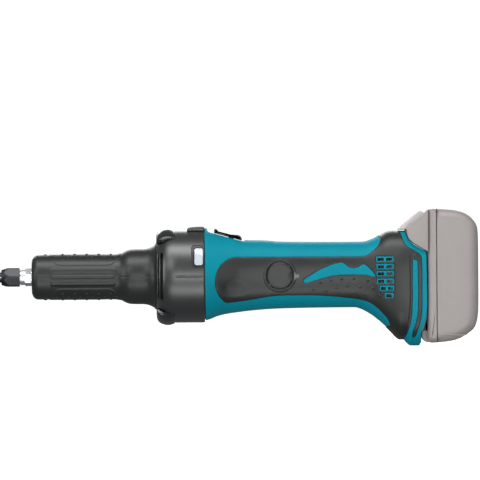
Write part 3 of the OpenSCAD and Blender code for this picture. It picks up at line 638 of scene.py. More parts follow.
crescent = [(258.4, -3.9), (259.7, -2.6), (264.4, 0.4), (270.3, 4.1), (277.1, 7.3), (283.8, 9.9),
            (288.1, 10.7),
            (290.6, 11.1), (292.3, 10.6), (294.5, 8.8), (297.5, 7), (300.9, 6.3), (304.3, 6.9),
            (306.8, 8.5), (309.3, 9.5),
            (311.1, 8.8), (314.5, 5.8), (317.5, 2.4), (319.2, -0.1), (318.8, -1.1), (316.2, -1), (312, 0.2),
            (305.2, 0.6),
            (296.7, 0.6), (288.2, 0.4), (279.7, -1), (271.2, -3.2), (264.4, -5.3), (260.6, -6.4), (259, -6)]
windows = [(319.7, 334.8, 11.3, 16), (320, 334.9, 5.1, 9.7), (320, 334.9, -0.9, 3.7),
           (320.3, 335, -7.2, -2.7),
           (322.6, 335, -13.2, -8.6), (326.9, 334.6, -19.6, -14.9)]
BRUSH_X, BRUSH_Z = 238.3, 0.2
SCREWS = [(181, 31), (186, -27), (276, 19.6), (256, -19), (306, 18.6), (306, -17), (334, 24), (330, -36)]
pips = [(272.7, -5.9), (281.4, -4.2), (290.7, -3.1), (300.9, -2.8), (312.7, -4.7), (266.6, -11.9),
        (277.6, -12.9),
        (286.1, -10.5), (295.4, -9.2), (306.1, -9.8), (317.5, -10.9), (299.6, -14.9), (310.6, -15.9),
        (322.5, -17.1)]
strip_pips = [(353.2, 4.1), (353.1, -10.1), (352.7, -24.1), (351.6, -37.7)]


def on_pattern(run, step_mm=0.8):
    return [tuple(q) for q in pattern(spline(run, step_mm))]


def grip_loop():
    """Outline of the soft grip on the flat pattern of one half."""
    loop = on_pattern(upper_edge) + on_pattern([(206, 16.3), (256, 16.15), (306, 16.0)],
                                               2.0)[1:] + on_pattern(upper_tip)[1:]
    x, v = loop[-1]
    loop += [tuple(q) for q in spline([(x, v), (x - 1.6, (v + SEAM) / 2 + 1), (x - 2.2, SEAM - 1.2),
                                       (x - 2.3, SEAM)])[1:]]
    loop += [tuple(q) for q in spline([(x - 2.3, SEAM), (339.9, SEAM)], 1.5)[1:]]
    rear = on_pattern(rear_edge)
    loop += [tuple(q) for q in spline([(339.9, SEAM), rear[0]])[1:]] + rear[1:]
    loop += on_pattern(strip_right)[1:] + on_pattern([(355, 12),
                                                      (350.8, 13.7)])[1:] + on_pattern(strip_left)[1:]
    x, v = loop[-1]
    loop += [tuple(q) for q in spline([(x, v), (342.6, -SEAM)])[1:]]
    tip = on_pattern(lower_tip)
    loop += [tuple(q) for q in spline([(342.6, -SEAM), (327.6, -SEAM)], 1.5)[1:]]
    loop += [tuple(q) for q in spline([(327.6, -SEAM), (327.9, -SEAM + 2), tip[0]])[1:]] + tip[1:-1]
    return np.array(loop)


GRIP = grip_loop()
CRESCENT = pattern(closed_spline(crescent, 0.7))
WINDOWS = [pattern(rounded(a, b, c, d, 1.0)) for a, b, c, d in windows]
CELLS = []
for a, b, c, d in windows[:5]:
    mid = (a + b) / 2 + 0.1
    CELLS += [pattern(rounded(a + 1.1, mid - 0.9, c + 0.7, d - 1.2, 0.7)),
              pattern(rounded(mid + 0.9, b - 1.2, c + 0.7, d - 1.2, 0.7))]
CELLS.append(pattern(rounded(328, 333.4, -18.9, -16.1, 0.7)))
COVER = pattern(circle(BRUSH_X, BRUSH_Z, 11.5, 72))
SEAT = pattern(circle(BRUSH_X, BRUSH_Z, 11.9, 72))
ZONE = [GRIP, CRESCENT, *WINDOWS, COVER]


def ring_dots(centres, radii, count=10):
    out = []
    for c in centres:
        out.append(c)
        for k, r in enumerate(radii):
            out += [(c[0] + r * math.cos(2 * PI * (i + 0.5 * (k % 2)) / count),
                     c[1] + r * math.sin(2 * PI * (i + 0.5 * (k % 2)) / count))
                    for i in range(count)]
    return out


PIPS = pattern(pips)
STRIP_PIPS = pattern(strip_pips)
PAD_V = float(pattern([(200.5, -9.6)])[0, 1])



def bumps(p, centres, r, h):
    out = np.zeros(len(p))
    for c in centres:
        d = np.hypot(p[:, 0] - c[0], p[:, 1] - c[1])
        out = np.maximum(out, h * np.sqrt(np.clip(1 - (d / r) ** 2, 0, 1)))
    return out


RIM_GROOVE = pattern(spline([(353.5, 17.2), (349.6, 17.8), (348.8, 15.6), (348.8, 0), (348.7, -19.5),
                             (348.2, -29.7), (347.1, -38.2), (344.9, -45.8), (342.2, -51.6)], 0.8))


def distance_to_run(p, run):
    a, b = run[:-1], run[1:]
    ab = b - a
    ll = np.maximum((ab**2).sum(1), 1e-12)
    best = np.full(len(p), 1e9)
    for i in range(0, len(p), 2000):
        q = p[i:i + 2000, None, :] - a[None]
        t = np.clip((q * ab[None]).sum(2) / ll[None], 0, 1)
        best[i:i + 2000] = np.sqrt((((q - t[..., None] * ab[None]) ** 2).sum(2)).min(1))
    return best


def skin_height(p):
    d = distance(p, SKIN_LOOPS)
    h = 0.28 + edge_round(d, 0.55)
    c = np.hypot(p[:, 0] - BRUSH_X, (p[:, 1] - COVER[:, 1].mean()) * 0.84)
    notch = step(p[:, 0] - BRUSH_X, 9.5, 10.5) * step(np.abs(p[:, 1] - COVER[:, 1].mean() + 0.5), 5.0, 4.2)
    h = h + 0.75 * step(c, 14.1, 13.5) * step(c, 11.5, 12.2) * (1 - notch)
    h = h - 0.45 * step(distance_to_run(p, RIM_GROOVE), 0.55, 0.15)
    oval = np.hypot((p[:, 0] - 200.5) / 14.5, (p[:, 1] - PAD_V) / 9.5)
    h = h - 0.75 * step(oval, 1.0, 0.45)
    return h + bumps(p, PIPS, 1.0, 0.75)


def teal_height(p):
    d = signed(p, ZONE)
    h = np.where(d > 0, -0.35 - 1.4 * step(d, 0.0, 0.3), edge_round(-d, 0.35))
    h = h + np.where(d > 0, 0, edge_round(distance(p, [TEAL_OUTER]), 0.3))
    return h + bumps(p, STRIP_PIPS, 0.8, 0.45)


# rear outline of the handle, from the top seam down to the bottom seam
rear_cut = [(344.6, 36.4), (345.7, 34), (347.5, 30.2), (350.9, 26.9), (357.7, 22.6), (362.4, 20)]
rear_low = [(362.4, 20), (362.7, -4), (362.7, -27.9), (361.5, -38.1), (359, -44.9), (357.7, -49.2)]
rear_foot = [(357.7, -49.2), (357.6, -57.7), (356.6, -59.4)]


def shell_loop(notch):
    loop = [tuple(q) for q in spline([(175.2, -SEAM), (175.2, SEAM)], 1.5)]
    if notch:
        a = [tuple(q) for q in spline([(175.2, SEAM), (188.4, SEAM)], 1.2)[1:]]
        y = 4.6
        def at(x):
            r = top_line(x) - middle_line(x)
            return SEAM - VR * math.asin(y / float(r))
        b = [tuple(q) for q in spline([(188.4, SEAM), (188.4, at(188.4))])[1:]]
        c = [tuple(q) for q in spline([(188.4, at(188.4)), (202, at(202))])[1:]]
        d = [tuple(q) for q in spline([(202, at(202)), (202, SEAM)])[1:]]
        e = [tuple(q) for q in spline([(202, SEAM), (343.9, SEAM)], 1.5)[1:]]
        loop += a + b + c + d + e
    rear = on_pattern(rear_cut) + on_pattern(rear_low)[1:] + on_pattern(rear_foot)[1:]
    loop += [tuple(q) for q in spline([(343.9, SEAM), rear[0]])[1:]] + rear[1:]
    loop += [tuple(q) for q in spline([rear[-1], (356.3, -SEAM)])[1:]]
    loop += [tuple(q) for q in spline([(356.3, -SEAM), (175.2, -SEAM)], 1.5)[1:-1]]
    return np.array(loop)


TEAL_OUTER = shell_loop(True)


def flat_bed(top):
    """Flattens the bed under the slide switch."""
    x, y, z = top[:, 0], top[:, 1], top[:, 2]
    plane = 37.8 - (x - 177) * 10.4 / 37
    plane = plane + 4 * step(x, 206.8, 211.5)
    on = (x > 177) & (x < 214) & (np.abs(y) < 11.6) & (z > plane)
    top[on, 2] = plane[on]
    return top


def screw_holes(r):
    return [pattern(circle(x, z, r, 24)) for x, z in SCREWS]


for side, word in ((-1, "left"), (1, "right")):
    surf = handle(side)
    holes = screw_holes(3.8) if side > 0 else []
    in_grip = [h for h in holes if inside(h[:1], ZONE)[0]]
    in_teal = holes
    zone_lines = [(q, True) for q in (GRIP, CRESCENT, *WINDOWS)]
    inner = []
    for q in (GRIP, CRESCENT, *WINDOWS):
        for s in (0.3, -0.3):
            w = offsets(q, s)
            keep = inside(w, ZONE) & (distance(w, ZONE) > 0.27)
            chain = []
            for pt, k in zip(w, keep):
                if k:
                    chain.append(pt)
                else:
                    if len(chain) > 2:
                        inner.append((np.array(chain), False))
                    chain = []
            if len(chain) > 2:
                inner.append((np.array(chain), False))
    outer_dots = [offsets(q, s) for q in (GRIP, CRESCENT, *WINDOWS) for s in (0.2, -0.2, 0.45, -0.45)]
    outer_dots = np.concatenate(outer_dots)
    dd = signed(outer_dots, ZONE)
    outer_dots = outer_dots[(dd < -0.18)]
    dots = np.concatenate([outer_dots, np.array(ring_dots(STRIP_PIPS, (0.3, 0.6, 0.85)))])
    v, f = patch(surf, [TEAL_OUTER, SEAT] + CELLS + in_teal, teal_height, -3.0, grid=2.0,
                 rings=(0.12, 0.35),
                 lines=zone_lines + inner, dots=dots, flip=-side, after=flat_bed)
    teal = make("shell_" + word, v, f, TEAL, "housing", ("housing_" + word,))
    SKIN_LOOPS = ZONE + in_grip
    shrunk = []
    for q in SKIN_LOOPS:
        a, b = offsets(q, 0.08), offsets(q, -0.08)
        shrunk.append(a if inside(a[::7], SKIN_LOOPS).mean() > 0.5 else b)
    SKIN_LOOPS = shrunk
    dots = np.concatenate([ring_dots(PIPS, (0.35, 0.65, 0.9, 1.0, 1.25)),
                           *[offsets(RIM_GROOVE, e) for e in (-0.6, -0.3, 0, 0.3, 0.6)]])
    ring = [(pattern(circle(BRUSH_X, BRUSH_Z, r, 72)), True) for r in (12.0, 12.6, 13.2, 13.7, 14.2)]
    v, f = patch(surf, SKIN_LOOPS, skin_height, -1.62, grid=1.7, rings=(0.12, 0.3, 0.6), lines=ring,
                 dots=dots, flip=-side)
    liner = lathe([(0, 11.42), (0, 12.1), (3.0, 12.1), (3.0, 11.42)], 72)
    liner = ([(BRUSH_X + q[1], side * (24.4 + q[0]), BRUSH_Z + q[2]) for q in liner[0]], liner[1])
    v, f = merge((v, f), liner)
    make("grip_" + word, v, f, RUBBER, "housing", ("grip_skin_" + word,))
    face = surf(np.array([BRUSH_X + 14.3]), np.array([COVER[:, 1].mean()]))[0]
    bars = [block((BRUSH_X + 12.1, BRUSH_X + 13.4), (-0.5, 0.5), (-3.4, 2.8), 0.2),
            block((BRUSH_X + 13.0, BRUSH_X + 16.4), (-0.5, 0.45), (-1.9, 1.3), 0.2)]
    v, f = merge(*[moved(b, (0, side * (abs(face[1]) + 0.2), 0)) for b in bars])
    make("pry_tab_" + word, v, f, TAB, "housing", ("grip_skin_" + word,))
    # A dark sheet of fins behind the vent cells: its colour is painted shade that fills the cells, with
    # painted glints in its mottled tint.
    fins = [pattern(rounded(317.8, 336.6, -21, 17.6, 1.0, 1.0))]
    v, f = patch(surf, fins, lambda p: -4.6 + 0.9 * (np.sin(p[:,
            0] * 2.2 + 0.6 * np.sin(p[:, 1] * 0.9)) > -0.2), -6.2, grid=0.55, rings=(), flip=-side)
    make("inner_fins_painted_shade_" + word, v, f, FINS_PAINTED_SHADE, "housing", ("housing_" + word,), sharp=50)

# ------------------------------------------------------------------ black neck and bell


def path_curve(profile):
    """(x, r) along a profile by its length, and the length at a given x."""
    p = np.array(spline(profile, 0.5))
    d = np.concatenate([[0], np.cumsum(np.hypot(*np.diff(p, axis=0).T))])

    def at(s):
        return np.interp(s, d, p[:, 0]), np.interp(s, d, p[:, 1])

    def length(x):
        return float(np.interp(x, p[:, 0], d))
    return at, length, d[-1]


def revolved(at, rr, side):
    """A surface of revolution: u along the profile, v around it from seam to seam."""
    def surf(u, v):
        x, r = at(u)
        a = np.asarray(v) / rr
        return np.stack([x, side * r * np.cos(a), r * np.sin(a)], -1)
    return surf


neck_profile = [(27.5, 10.6), (27.5, 12.2), (27.7, 13.9), (28.4, 15.8), (29.6, 17.5), (31, 18.5),
                (32.4, 18.95), (34.5, 19), (43, 19), (60, 19),
                (80, 19), (100.5, 19.05), (103.6, 19.9), (106.1, 21.3), (109.5, 22.75), (112.9, 23.25),
                (118, 23.4), (123.1, 23.5),
                (126.5, 24.1), (129.9, 25.5), (131.6, 26.6), (132.9, 28.1)]
neck_at, neck_len, NECK_S = path_curve(neck_profile)
NR = 19.2
QN = PI / 2 * NR
PANEL = [(neck_len(x), v) for x, v in ((43.1, QN + 3), (43.1, 24), (45, 17.6), (47.5, 12.8), (50.1, 10.9),
                                       (54, 10.6), (75, 10.6), (90, 10.6), (94, 11),
                                       (96.8, 12.3), (100.2, 16.2), (102.7, 22), (103.4, QN + 3))]
P_TOP = np.array(spline([PANEL[0], PANEL[1]])[:-1] + spline(PANEL[1:-1], 0.8) + [PANEL[-1]])
P_LOW = P_TOP * (1, -1)
NECK_PIPS = []
for a, x0, n in ((62.5, 48.8, 6), (48, 53.9, 5), (80, 53.9, 5), (28, 48.8, 0)):
    NECK_PIPS += [(neck_len(x0 + 10.2 * k),
                   sgn * (90 - (90 - a)) * PI / 180 * NR) for k in range(n) for sgn in (1, -1)]


def capsule(p, x0, x1, y, half):
    q = np.clip(p[:, 0], x0, x1)
    return half - np.hypot(p[:, 0] - q, p[:, 1] - y)


RIBS = (-5.87, 0.0, 5.87)


def neck_height(p):
    h = 0.42 * step(np.maximum(signed(p, [P_TOP]), signed(p, [P_LOW])), -0.2, 0.2)
    for y in RIBS:
        h = np.maximum(h, 0.6 * step(capsule(p, neck_len(46), neck_len(96.8), y, 1.35), -0.1, 0.3))
    plain = (p[:, 0] > neck_len(103.6)) | ((p[:, 0] > neck_len(32)) & (p[:, 0] < neck_len(43)))
    h = h - 0.14 * plain * step(np.abs(p[:, 1]), 0.3, 0.0)
    nub = np.hypot((p[:, 0] - neck_len(39)) / 1.5, (np.abs(p[:, 1]) - QN) / 3.0)
    h = h + 0.65 * np.sqrt(np.clip(1 - nub**2, 0, 1))
    h = h + bumps(p, NECK_PIPS, 1.0, 0.8)
    return h - 0.12 * step(np.abs(p[:, 0] - neck_len(113)), 0.35, 0.0)


box_loop = np.array(spline([(0, -QN), (0, QN)], 1.4)[:-1] + spline([(0, QN), (NECK_S, QN)], 1.2)[:-1]
                    + spline([(NECK_S, QN), (NECK_S, -QN)], 1.4)[:-1] + spline([(NECK_S, -QN), (0, -QN)],
                            1.2)[:-1])
lines = [(P_TOP, False), (P_LOW, False)]
for y in (-0.3, 0.0, 0.3):
    lines.append((np.array(spline([(neck_len(32), y), (neck_len(42.5), y)], 1.0)), False))
    lines.append((np.array(spline([(neck_len(103.8), y), (NECK_S - 0.8, y)], 1.0)), False))
dots = ring_dots(NECK_PIPS, (0.35, 0.65, 0.9, 1.0, 1.3))
for y in RIBS:
    for e in (-1.65, -1.2, -0.6, 0.0, 0.6, 1.2, 1.65):
        dots += [(x, y + e) for x in np.arange(neck_len(46), neck_len(96.8), 1.1)]
    for cx, sgn in ((neck_len(46), -1), (neck_len(96.8), 1)):
        for r in (0.6, 1.2, 1.65):
            dots += [(cx + sgn * r * math.cos(a), y + r * math.sin(a)) for a in np.linspace(-PI / 2, PI / 2,
                    9)]
for q in (P_TOP, P_LOW):
    for e in (-0.5, -0.25, 0.3, 0.6):
        dots += [tuple(w) for w in offsets(q, e)]
for s in np.arange(0.4, neck_len(33), 0.45):
    dots += [(s, y) for y in np.arange(-QN + 0.6, QN - 0.5, 1.1)]
for e in (-0.6, -0.3, 0, 0.3, 0.6):
    dots += [(neck_len(113) + e, y) for y in np.arange(-QN + 0.6, QN - 0.5, 1.1)]
for a in np.arange(0.3, 3.2, 0.5):
    for sgn in (1, -1):
        dots += [(neck_len(39) + w, sgn * (QN - a)) for w in (-1.5, -1.1, -0.6, 0, 0.6, 1.1, 1.5)]
halves = []
seam = lambda q: abs(abs(q[1]) - QN) < 1e-3
for side in (-1, 1):
    halves.append(patch(revolved(neck_at, NR, side), [box_loop], neck_height,
                        lambda q: -0.8 - 0.5 * step(q[:, 0], 1, 6), grid=1.5,
                        rings=(0.3,), lines=lines, dots=np.array(dots), flip=-side, wrap=seam))
v, f = merge(*halves)
make("neck_sleeve_rubber", v, f, RUBBER, "housing", ("neck_sleeve",), sharp=45)

# ------------------------------------------------------------------ fan drum

drum_profile = [(133.3, 24.5), (133.3, 26.6), (133.4, 28.5), (134.1, 30.4), (135.2, 32.1), (136.6, 33.9),
                (138.2, 35.2), (140.2, 36.7), (142.3, 37.7), (144.2, 38.35),
                (146, 38.85), (148, 39.2), (150, 39.38), (153, 39.4), (160, 39.4), (167, 39.4),
                (173.4, 39.4), (173.9, 39.33), (174.35, 39.05),
                (174.6, 38.5), (174.6, 36.9)]
drum_at, drum_len, DRUM_S = path_curve(drum_profile)
DR = 39.4
QD = PI / 2 * DR


def drum_height(p):
    h = np.zeros(len(p))
    s = p[:, 0]
    mould = step(np.abs(p[:, 1]), 0.28, 0.0) * (s > drum_len(150.5))
    h = h - 0.16 * mould
    return h


s0, s1 = drum_len(134.9), drum_len(139.4)
half_slot = math.radians(35) * DR
side_slot = rounded(s0, s1, -half_slot, half_slot, 1.2)
win = np.array([(drum_len(x), math.asin(z / DR) * DR) for x, z in rounded(165.7, 173.3, 9.4, 24.6, 1.8)])
runs = spline([(0, -QD), (0, QD)], 1.6)[:-1] + spline([(0, QD), (s0, QD)], 0.8)[:-1]
runs += spline([(s0, QD), (s0, QD - half_slot + 1)],
               1.0)[:-1] + spline([(s0, QD - half_slot + 1), (s0 + 0.4, QD - half_slot + 0.3),
                                   (s0 + 1, QD - half_slot)], 0.4)[:-1]
runs += spline([(s0 + 1, QD - half_slot), (s1 - 1, QD - half_slot)],
               0.8)[:-1] + spline([(s1 - 1, QD - half_slot), (s1 - 0.4, QD - half_slot + 0.3),
                                   (s1, QD - half_slot + 1)], 0.4)[:-1]
runs += spline([(s1, QD - half_slot + 1), (s1, QD)], 1.0)[:-1] + spline([(s1, QD), (DRUM_S, QD)], 1.2)[:-1]
n_front = len(spline([(0, -QD), (0, QD)], 1.6)[:-1])
ring_loop = np.array(runs + spline([(DRUM_S, QD), (DRUM_S, -QD)],
                                   1.6)[:-1] + [np.array((q[0], -q[1])) for q in reversed(runs[n_front:])])
drum_lines, drum_dots = [], []
for y in (-0.28, 0.0, 0.28):
    drum_lines.append((np.array(spline([(drum_len(150.6), y), (DRUM_S - 1.2, y)], 1.2)), False))
for e in np.arange(0.5, 3.6, 0.4):
    drum_dots += [(DRUM_S - e, y) for y in np.arange(-QD + 0.7, QD - 0.6, 1.5)]
parts = []
seam_d = lambda q: abs(abs(q[1]) - QD) < 1e-3
for side in (-1, 1):
    holes = [side_slot] + ([win] if side < 0 else [])
    parts.append(patch(revolved(drum_at, DR, side), [ring_loop] + holes, drum_height, -2.4, grid=1.9,
                       rings=(0.25, 0.6),
                       lines=drum_lines, dots=np.array(drum_dots), flip=-side, wrap=seam_d))
hump = slab(outline([(159.6, 37.6), (159.6, 39.8)],
                    [(159.6, 39.8), (160.1, 40.6), (161, 41.3), (163.2, 41.8), (166, 42.05), (170, 42.15),
                     (173.2, 42.1), (174.2, 41.7)],
                    [(174.2, 41.7), (174.5, 41.2), (174.5, 37.6)], [(174.5, 37.6), (159.6, 37.6)]), -11, 11,
                    r=1.4)
parts.append(hump)
for side in (-1, 1):
    rib = [(136.0, 31.6), (136.0, 33.6), (136.5, 34.1), (137.0, 34.3), (137.0, 31.6)]
    a0 = PI / 2 if side < 0 else 3 * PI / 2
    parts.append(lathe(rib, 24, a0 - math.radians(35.5), a0 + math.radians(35.5)))
    lip = [(134.0, 29.8), (133.7, 31.0), (134.5, 32.1), (135.0, 32.0), (135.0, 29.8)]
    parts.append(lathe(soften(lip, 0.25), 24, a0 - math.radians(36), a0 + math.radians(36)))
# inner wall behind the slots, so that they look into a dark duct
parts.append(lathe(soften([(137.2, 13.5), (137.2, 27), (141.5, 30.2), (141.5, 31.0), (134.6, 27.6),
                           (133.4, 27.3), (133.4, 24), (135.4, 23.6), (135.4, 13.5)], 0.3), 96))
v, f = merge(*parts)
make("fan_drum", v, f, DRUM, "housing", ("fan_housing",), sharp=40)


def guard(turn):
    """Curved exhaust guard over one slot, its two ends rounded off."""
    outer = [(134.2, 32.9), (133.5, 33.6), (133.7, 35.4), (134.6, 37.6), (135.5, 38.9), (136.8, 39.8),
             (138.3, 40.5), (140, 41.05), (141.7, 41.35), (143.4, 41.45),
             (145.2, 41.25), (146.9, 40.85), (148.2, 40.3), (148.9, 39.85), (148.9, 39.5)]
    inner = [(147.2, 39.25), (145.2, 38.8), (142.9, 38.1), (141.2, 38.2), (140.6, 39.1), (139.2, 38.9),
             (137.6, 38), (136.2, 36.6), (135.3, 35.1)]
    loop = soften(outer + inner, 0.25, 2)
    mid = np.mean(loop, axis=0)
    n = 64
    verts, faces = [], []
    k = len(loop)
    for i in range(n + 1):
        t = i / n
        e = min(t, 1 - t) * 74 * PI / 180 * 40
        sc = 1 if e > 1.6 else max(0.25, math.sqrt(max(0, 1 - (1 - e / 1.6) ** 2)) * 0.75 + 0.25)
        a = math.radians(turn - 37 + 74 * t)
        for x, r in loop:
            x, r = mid[0] + (x - mid[0]) * sc, mid[1] + (r - mid[1]) * sc
            verts.append((x, -r * math.sin(a), r * math.cos(a)))
    for i in range(n):
        for q in range(k):
            w = (q + 1) % k
            faces.append((i * k + q, i * k + w, (i + 1) * k + w, (i + 1) * k + q))
    faces += [tuple(range(k)), tuple(n * k + q for q in reversed(range(k)))]
    return verts, faces


v, f = merge(*[guard(a) for a in (0, 180)])
make("exhaust_guard_set", v, f, GLOSS, "housing", ("exhaust_guards",))


def on_drum(u, v):
    a = np.asarray(v) / DR
    return np.stack([np.asarray(u, float), -DR * np.cos(a), DR * np.sin(a)], -1)


def drum_loop(x0, x1, z0, z1, r):
    return np.array([(x, math.asin(z / DR) * DR) for x, z in rounded(x0, x1, z0, z1, r)])


frame_loops = [drum_loop(163.4, 174.4, 7.1, 26.7, 2.8), drum_loop(166, 173.2, 9.6, 24.2, 1.8)]
v, f = patch(on_drum, frame_loops, lambda p: 0.5 + edge_round(distance(p, frame_loops), 0.8), 0.03,
             grid=0.9, rings=(0.12, 0.3), flip=1)
make("window_frame", v, f, PLASTIC, "housing", ("window_bezel",))
lens_loop = [drum_loop(165.9, 173.2, 9.6, 24.4, 1.7)]
v, f = patch(on_drum, lens_loop, lambda p: -0.35 + 0.25 * step(distance(p, lens_loop), 0,
        3) + edge_round(distance(p, lens_loop), 0.3), -1.9, grid=0.9,
             rings=(0.12, 0.3), flip=1)
make("window_pane", v, f, LENS, "housing", ("window_lens",))

# ------------------------------------------------------------------ collet nut


def hex_nut(x0, x1, af, turn, bore, front, back):
    """A hexagon with turned chamfers. front and back give the turned radius near each end."""
    m = 120
    xs = [x0 + d for d in (0, 0.15, 0.4, 0.8, 1.3, 2, 2.8, 3.6, 4.4, 5.2, 6, 7, 8.2,
                           9.6)] + [x1 - d for d in (3, 2, 1.3, 0.9, 0.6, 0.35, 0.15, 0)]
    verts, faces = [], []
    for x in xs:
        for i in range(m):
            a = 2 * PI * i / m
            b = (a - math.radians(turn) + PI / 6) % (PI / 3) - PI / 6
            r = af / 2 / math.cos(b)
            corner = af / 2 / math.cos(PI / 6) - 0.18
            r = min(r, corner, front(x), back(x))
            verts.append((x, -r * math.sin(a), r * math.cos(a)))
    k = len(xs)
    for x, r in bore:
        verts += [(x, -r * math.sin(2 * PI * i / m), r * math.cos(2 * PI * i / m)) for i in range(m)]
    rows = k + len(bore)
    for j in range(rows):
        w = (j + 1) % rows
        for i in range(m):
            faces.append((j * m + i, j * m + (i + 1) % m, w * m + (i + 1) % m, w * m + i))
    return verts, faces


v, f = hex_nut(1.7, 17.3, 15.1, 53, [(17.3, 6.6), (16.9, 6.15), (6.5, 6.15), (6.4, 5.55), (3.1, 5.5),
                                     (3, 4.9), (2.0, 4.9), (1.7, 5.2)],
               lambda x: np.interp(x, [1.7, 1.95, 7.6, 8.4], [6.2, 6.55, 8.62, 9.5]),
               lambda x: np.interp(x, [16.2, 17.0, 17.3], [9.5, 8.35, 7.9]))
make("collet_clamp_nut", v, f, OXIDE, "collet_nut", ("collet_nut",), sharp=24)
for node in ("collet", "spindle", "front_screws", "housing_screws", "brush_cap_left", "brush_cap_right",
             "fan", "baffle_plate", "end_bracket",
             "switch_unit", "controller", "terminal_block", "terminals", "battery_contacts",
             "front_retainer", "coupling"):
    mod = frame["nodes"][node].modifiers.new("edges", "BEVEL")
    mod.width = 0.0002
    mod.segments = 2
    mod.limit_method = "ANGLE"
    mod.angle_limit = math.radians(40)
    mod.use_clamp_overlap = True

# ------------------------------------------------------------------ brush cap covers

for side, word in ((-1, "left"), (1, "right")):
    n = 96
    rows = [(0.0, 28.75), (2, 28.75), (4, 28.75), (6, 28.75), (8, 28.74), (9.2, 28.72), (10.2, 28.62),
            (10.8, 28.42), (11.15, 28.1), (11.3, 27.6), (11.3, 25.6), (9, 25.6),
            (9, 27.0), (5, 27.0), (0.0, 27.0)]
    verts, faces, index = [], [], []
    for r, y in rows:
        if r < 1e-6:
            index.append([len(verts)] * n)
            verts.append((BRUSH_X, side * y, BRUSH_Z))
            continue
        index.append(list(range(len(verts), len(verts) + n)))
        for i in range(n):
            a = 2 * PI * i / n
            x, z = r * math.cos(a), r * math.sin(a)
            notch = step(x, 8.6, 9.6) * step(abs(z), 3.1, 2.5) if y > 27.8 else 0
            verts.append((BRUSH_X + x, side * (y - 0.9 * notch), BRUSH_Z + z))
    for j in range(len(rows) - 1):
        for i in range(n):
            q = [index[j][i], index[j][(i + 1) % n], index[j + 1][(i + 1) % n], index[j + 1][i]]
            faces.append(tuple(dict.fromkeys(q)))
    make("brush_cover_" + word, verts, faces, RUBBER, "cap_cover_" + word, ("cap_cover_" + word,),
         sharp=38)

# ------------------------------------------------------------------ slide switch

side_line = outline([(182.6, 36.6), (182.7, 39)],
                    [(182.7, 39), (183.3, 40.25), (184.4, 40.2), (185.4, 39.3), (186.6, 37.9), (187.8, 37),
                     (191, 36.2), (196, 35.4),
                    (200.4, 35.15), (203.2, 34.95)],
                    [(203.2, 34.95), (204.8, 34.1), (205.9, 32.7), (206.3, 31.9), (206.1, 30.1)],
                    [(206.1, 30.1), (182.6, 36.6)], step=0.6)
knob = slab(side_line, -10.4, 10.4, r=1.3)
ridges = [turned(block((x - 0.45, x + 0.45), (-8, 8), (34.6, 35.95 - (x - 190) * 0.088), 0.3), "Y",
                 0) for x in (190.5, 192.7, 194.9, 197.1, 199.3)]
stem = block((194.7, 199.3), (-2.9, 2.9), (23.3, 33.2), 0.3)
v, f = merge(knob, *ridges, stem)
make("slide_switch", v, f, PLASTIC, "switch_knob", ("switch_knob",))

# ------------------------------------------------------------------ rear frame with the battery channel


def rear_frame(node):
    """The rear of a housing half, from the frame, set in a little under the outer shell."""
    bm = bmesh.new()
    bm.from_mesh(frame["nodes"][node].data)
    bmesh.ops.remove_doubles(bm, verts=bm.verts, dist=1e-6)
    cut = bmesh.ops.bisect_plane(bm, geom=bm.verts[:] + bm.edges[:] + bm.faces[:], plane_co=(0.3445, 0, 0),
                                 plane_no=(1, 0, 0), clear_inner=True)
    edges = [e for e in cut["geom_cut"] if isinstance(e, bmesh.types.BMEdge)]
    bmesh.ops.holes_fill(bm, edges=edges, sides=0)
    verts = []
    for v in bm.verts:
        x, y, z = v.co / MM
        r = math.hypot(y, z + 10)
        k = 1 - 1.4 / max(r, 12)
        verts.append((x - 0.3, y * k if abs(y) > 1 else y, (z + 10) * k - 10))
    faces = [tuple(v.index for v in f.verts) for f in bm.faces]
    bm.free()
    return verts, faces


for word in ("left", "right"):
    v, f = rear_frame("housing_" + word)
    make("rear_frame_" + word, v, f, TEAL, "housing", ("housing_" + word,))

# ------------------------------------------------------------------ battery pack


def pack_part(runs, y0, y1, weight, r=9.0, n=8, step_mm=1.2):
    """A side outline drawn across the pack, its rims rounded by r times weight(x, z)."""
    loop = against_clock(outline(*runs, step=step_mm))
    inward = offsets(loop, 1.0) - loop
    w = np.array([weight(x, z) for x, z in loop])[:, None]
    sweep = [PI / 2 * k / n for k in range(n + 1)]
    ys = [(y0 + r * (1 - math.cos(a)), r * (1 - math.sin(a))) for a in sweep]
    ys = ys + [(y0 + y1 - y, d) for y, d in reversed(ys)]
    verts = []
    for y, d in ys:
        verts += [(a, y, b) for a, b in loop + inward * d * w]
    return verts, loft(len(ys), len(loop))


rear_runs = [[(371.25, 56.1), (374, 56.0), (378, 55.75), (384, 55.2), (389.8, 54.3), (394.1, 52.8),
              (397.4, 51.1), (400.2, 48.9), (403.9, 44.4), (405.5, 40.6), (406.1, 36.1), (406.35, 28),
              (406.4, 16),
              (406.4, -8), (406.35, -23.4), (406, -31.9), (404.9, -40), (403.2, -44.4), (400.7, -47.2),
              (397.3, -49.9), (393.9, -52), (390.5, -53.8),
              (383.7, -55.9), (376.1, -56.9), (371.25, -57.3)], [(371.25, -57.3), (371.25, 56.1)]]
rear = pack_part(rear_runs, -37.5, 37.5, lambda x, z: 0.035 if x < 371.5 else 1.0)
beads = [block((371.6, 396), (s * 37.05 - 0.3, s * 37.05 + 0.3), (-51.3, -50.5), 0.25) for s in (-1, 1)]
v, f = merge(rear, *beads)
make("pack_rear_case", v, f, PACK, "battery", ("battery_rear_case",), sharp=45)

front_runs = [[(371.05, 56.1), (371.05, -57.3)],
              [(371.05, -57.3), (368, -57.5), (365.4, -57.4), (363.9, -56.6), (363.3, -55.2), (363.2, -50),
               (363.2, -26), (363.2, -10), (363.15, 19.8)],
              [(363.15, 19.8), (363.6, 28), (363.6, 40), (363.6, 52.6)],
              [(363.6, 52.6), (364.2, 55.2), (366.9, 56.25), (371.05, 56.1)]]


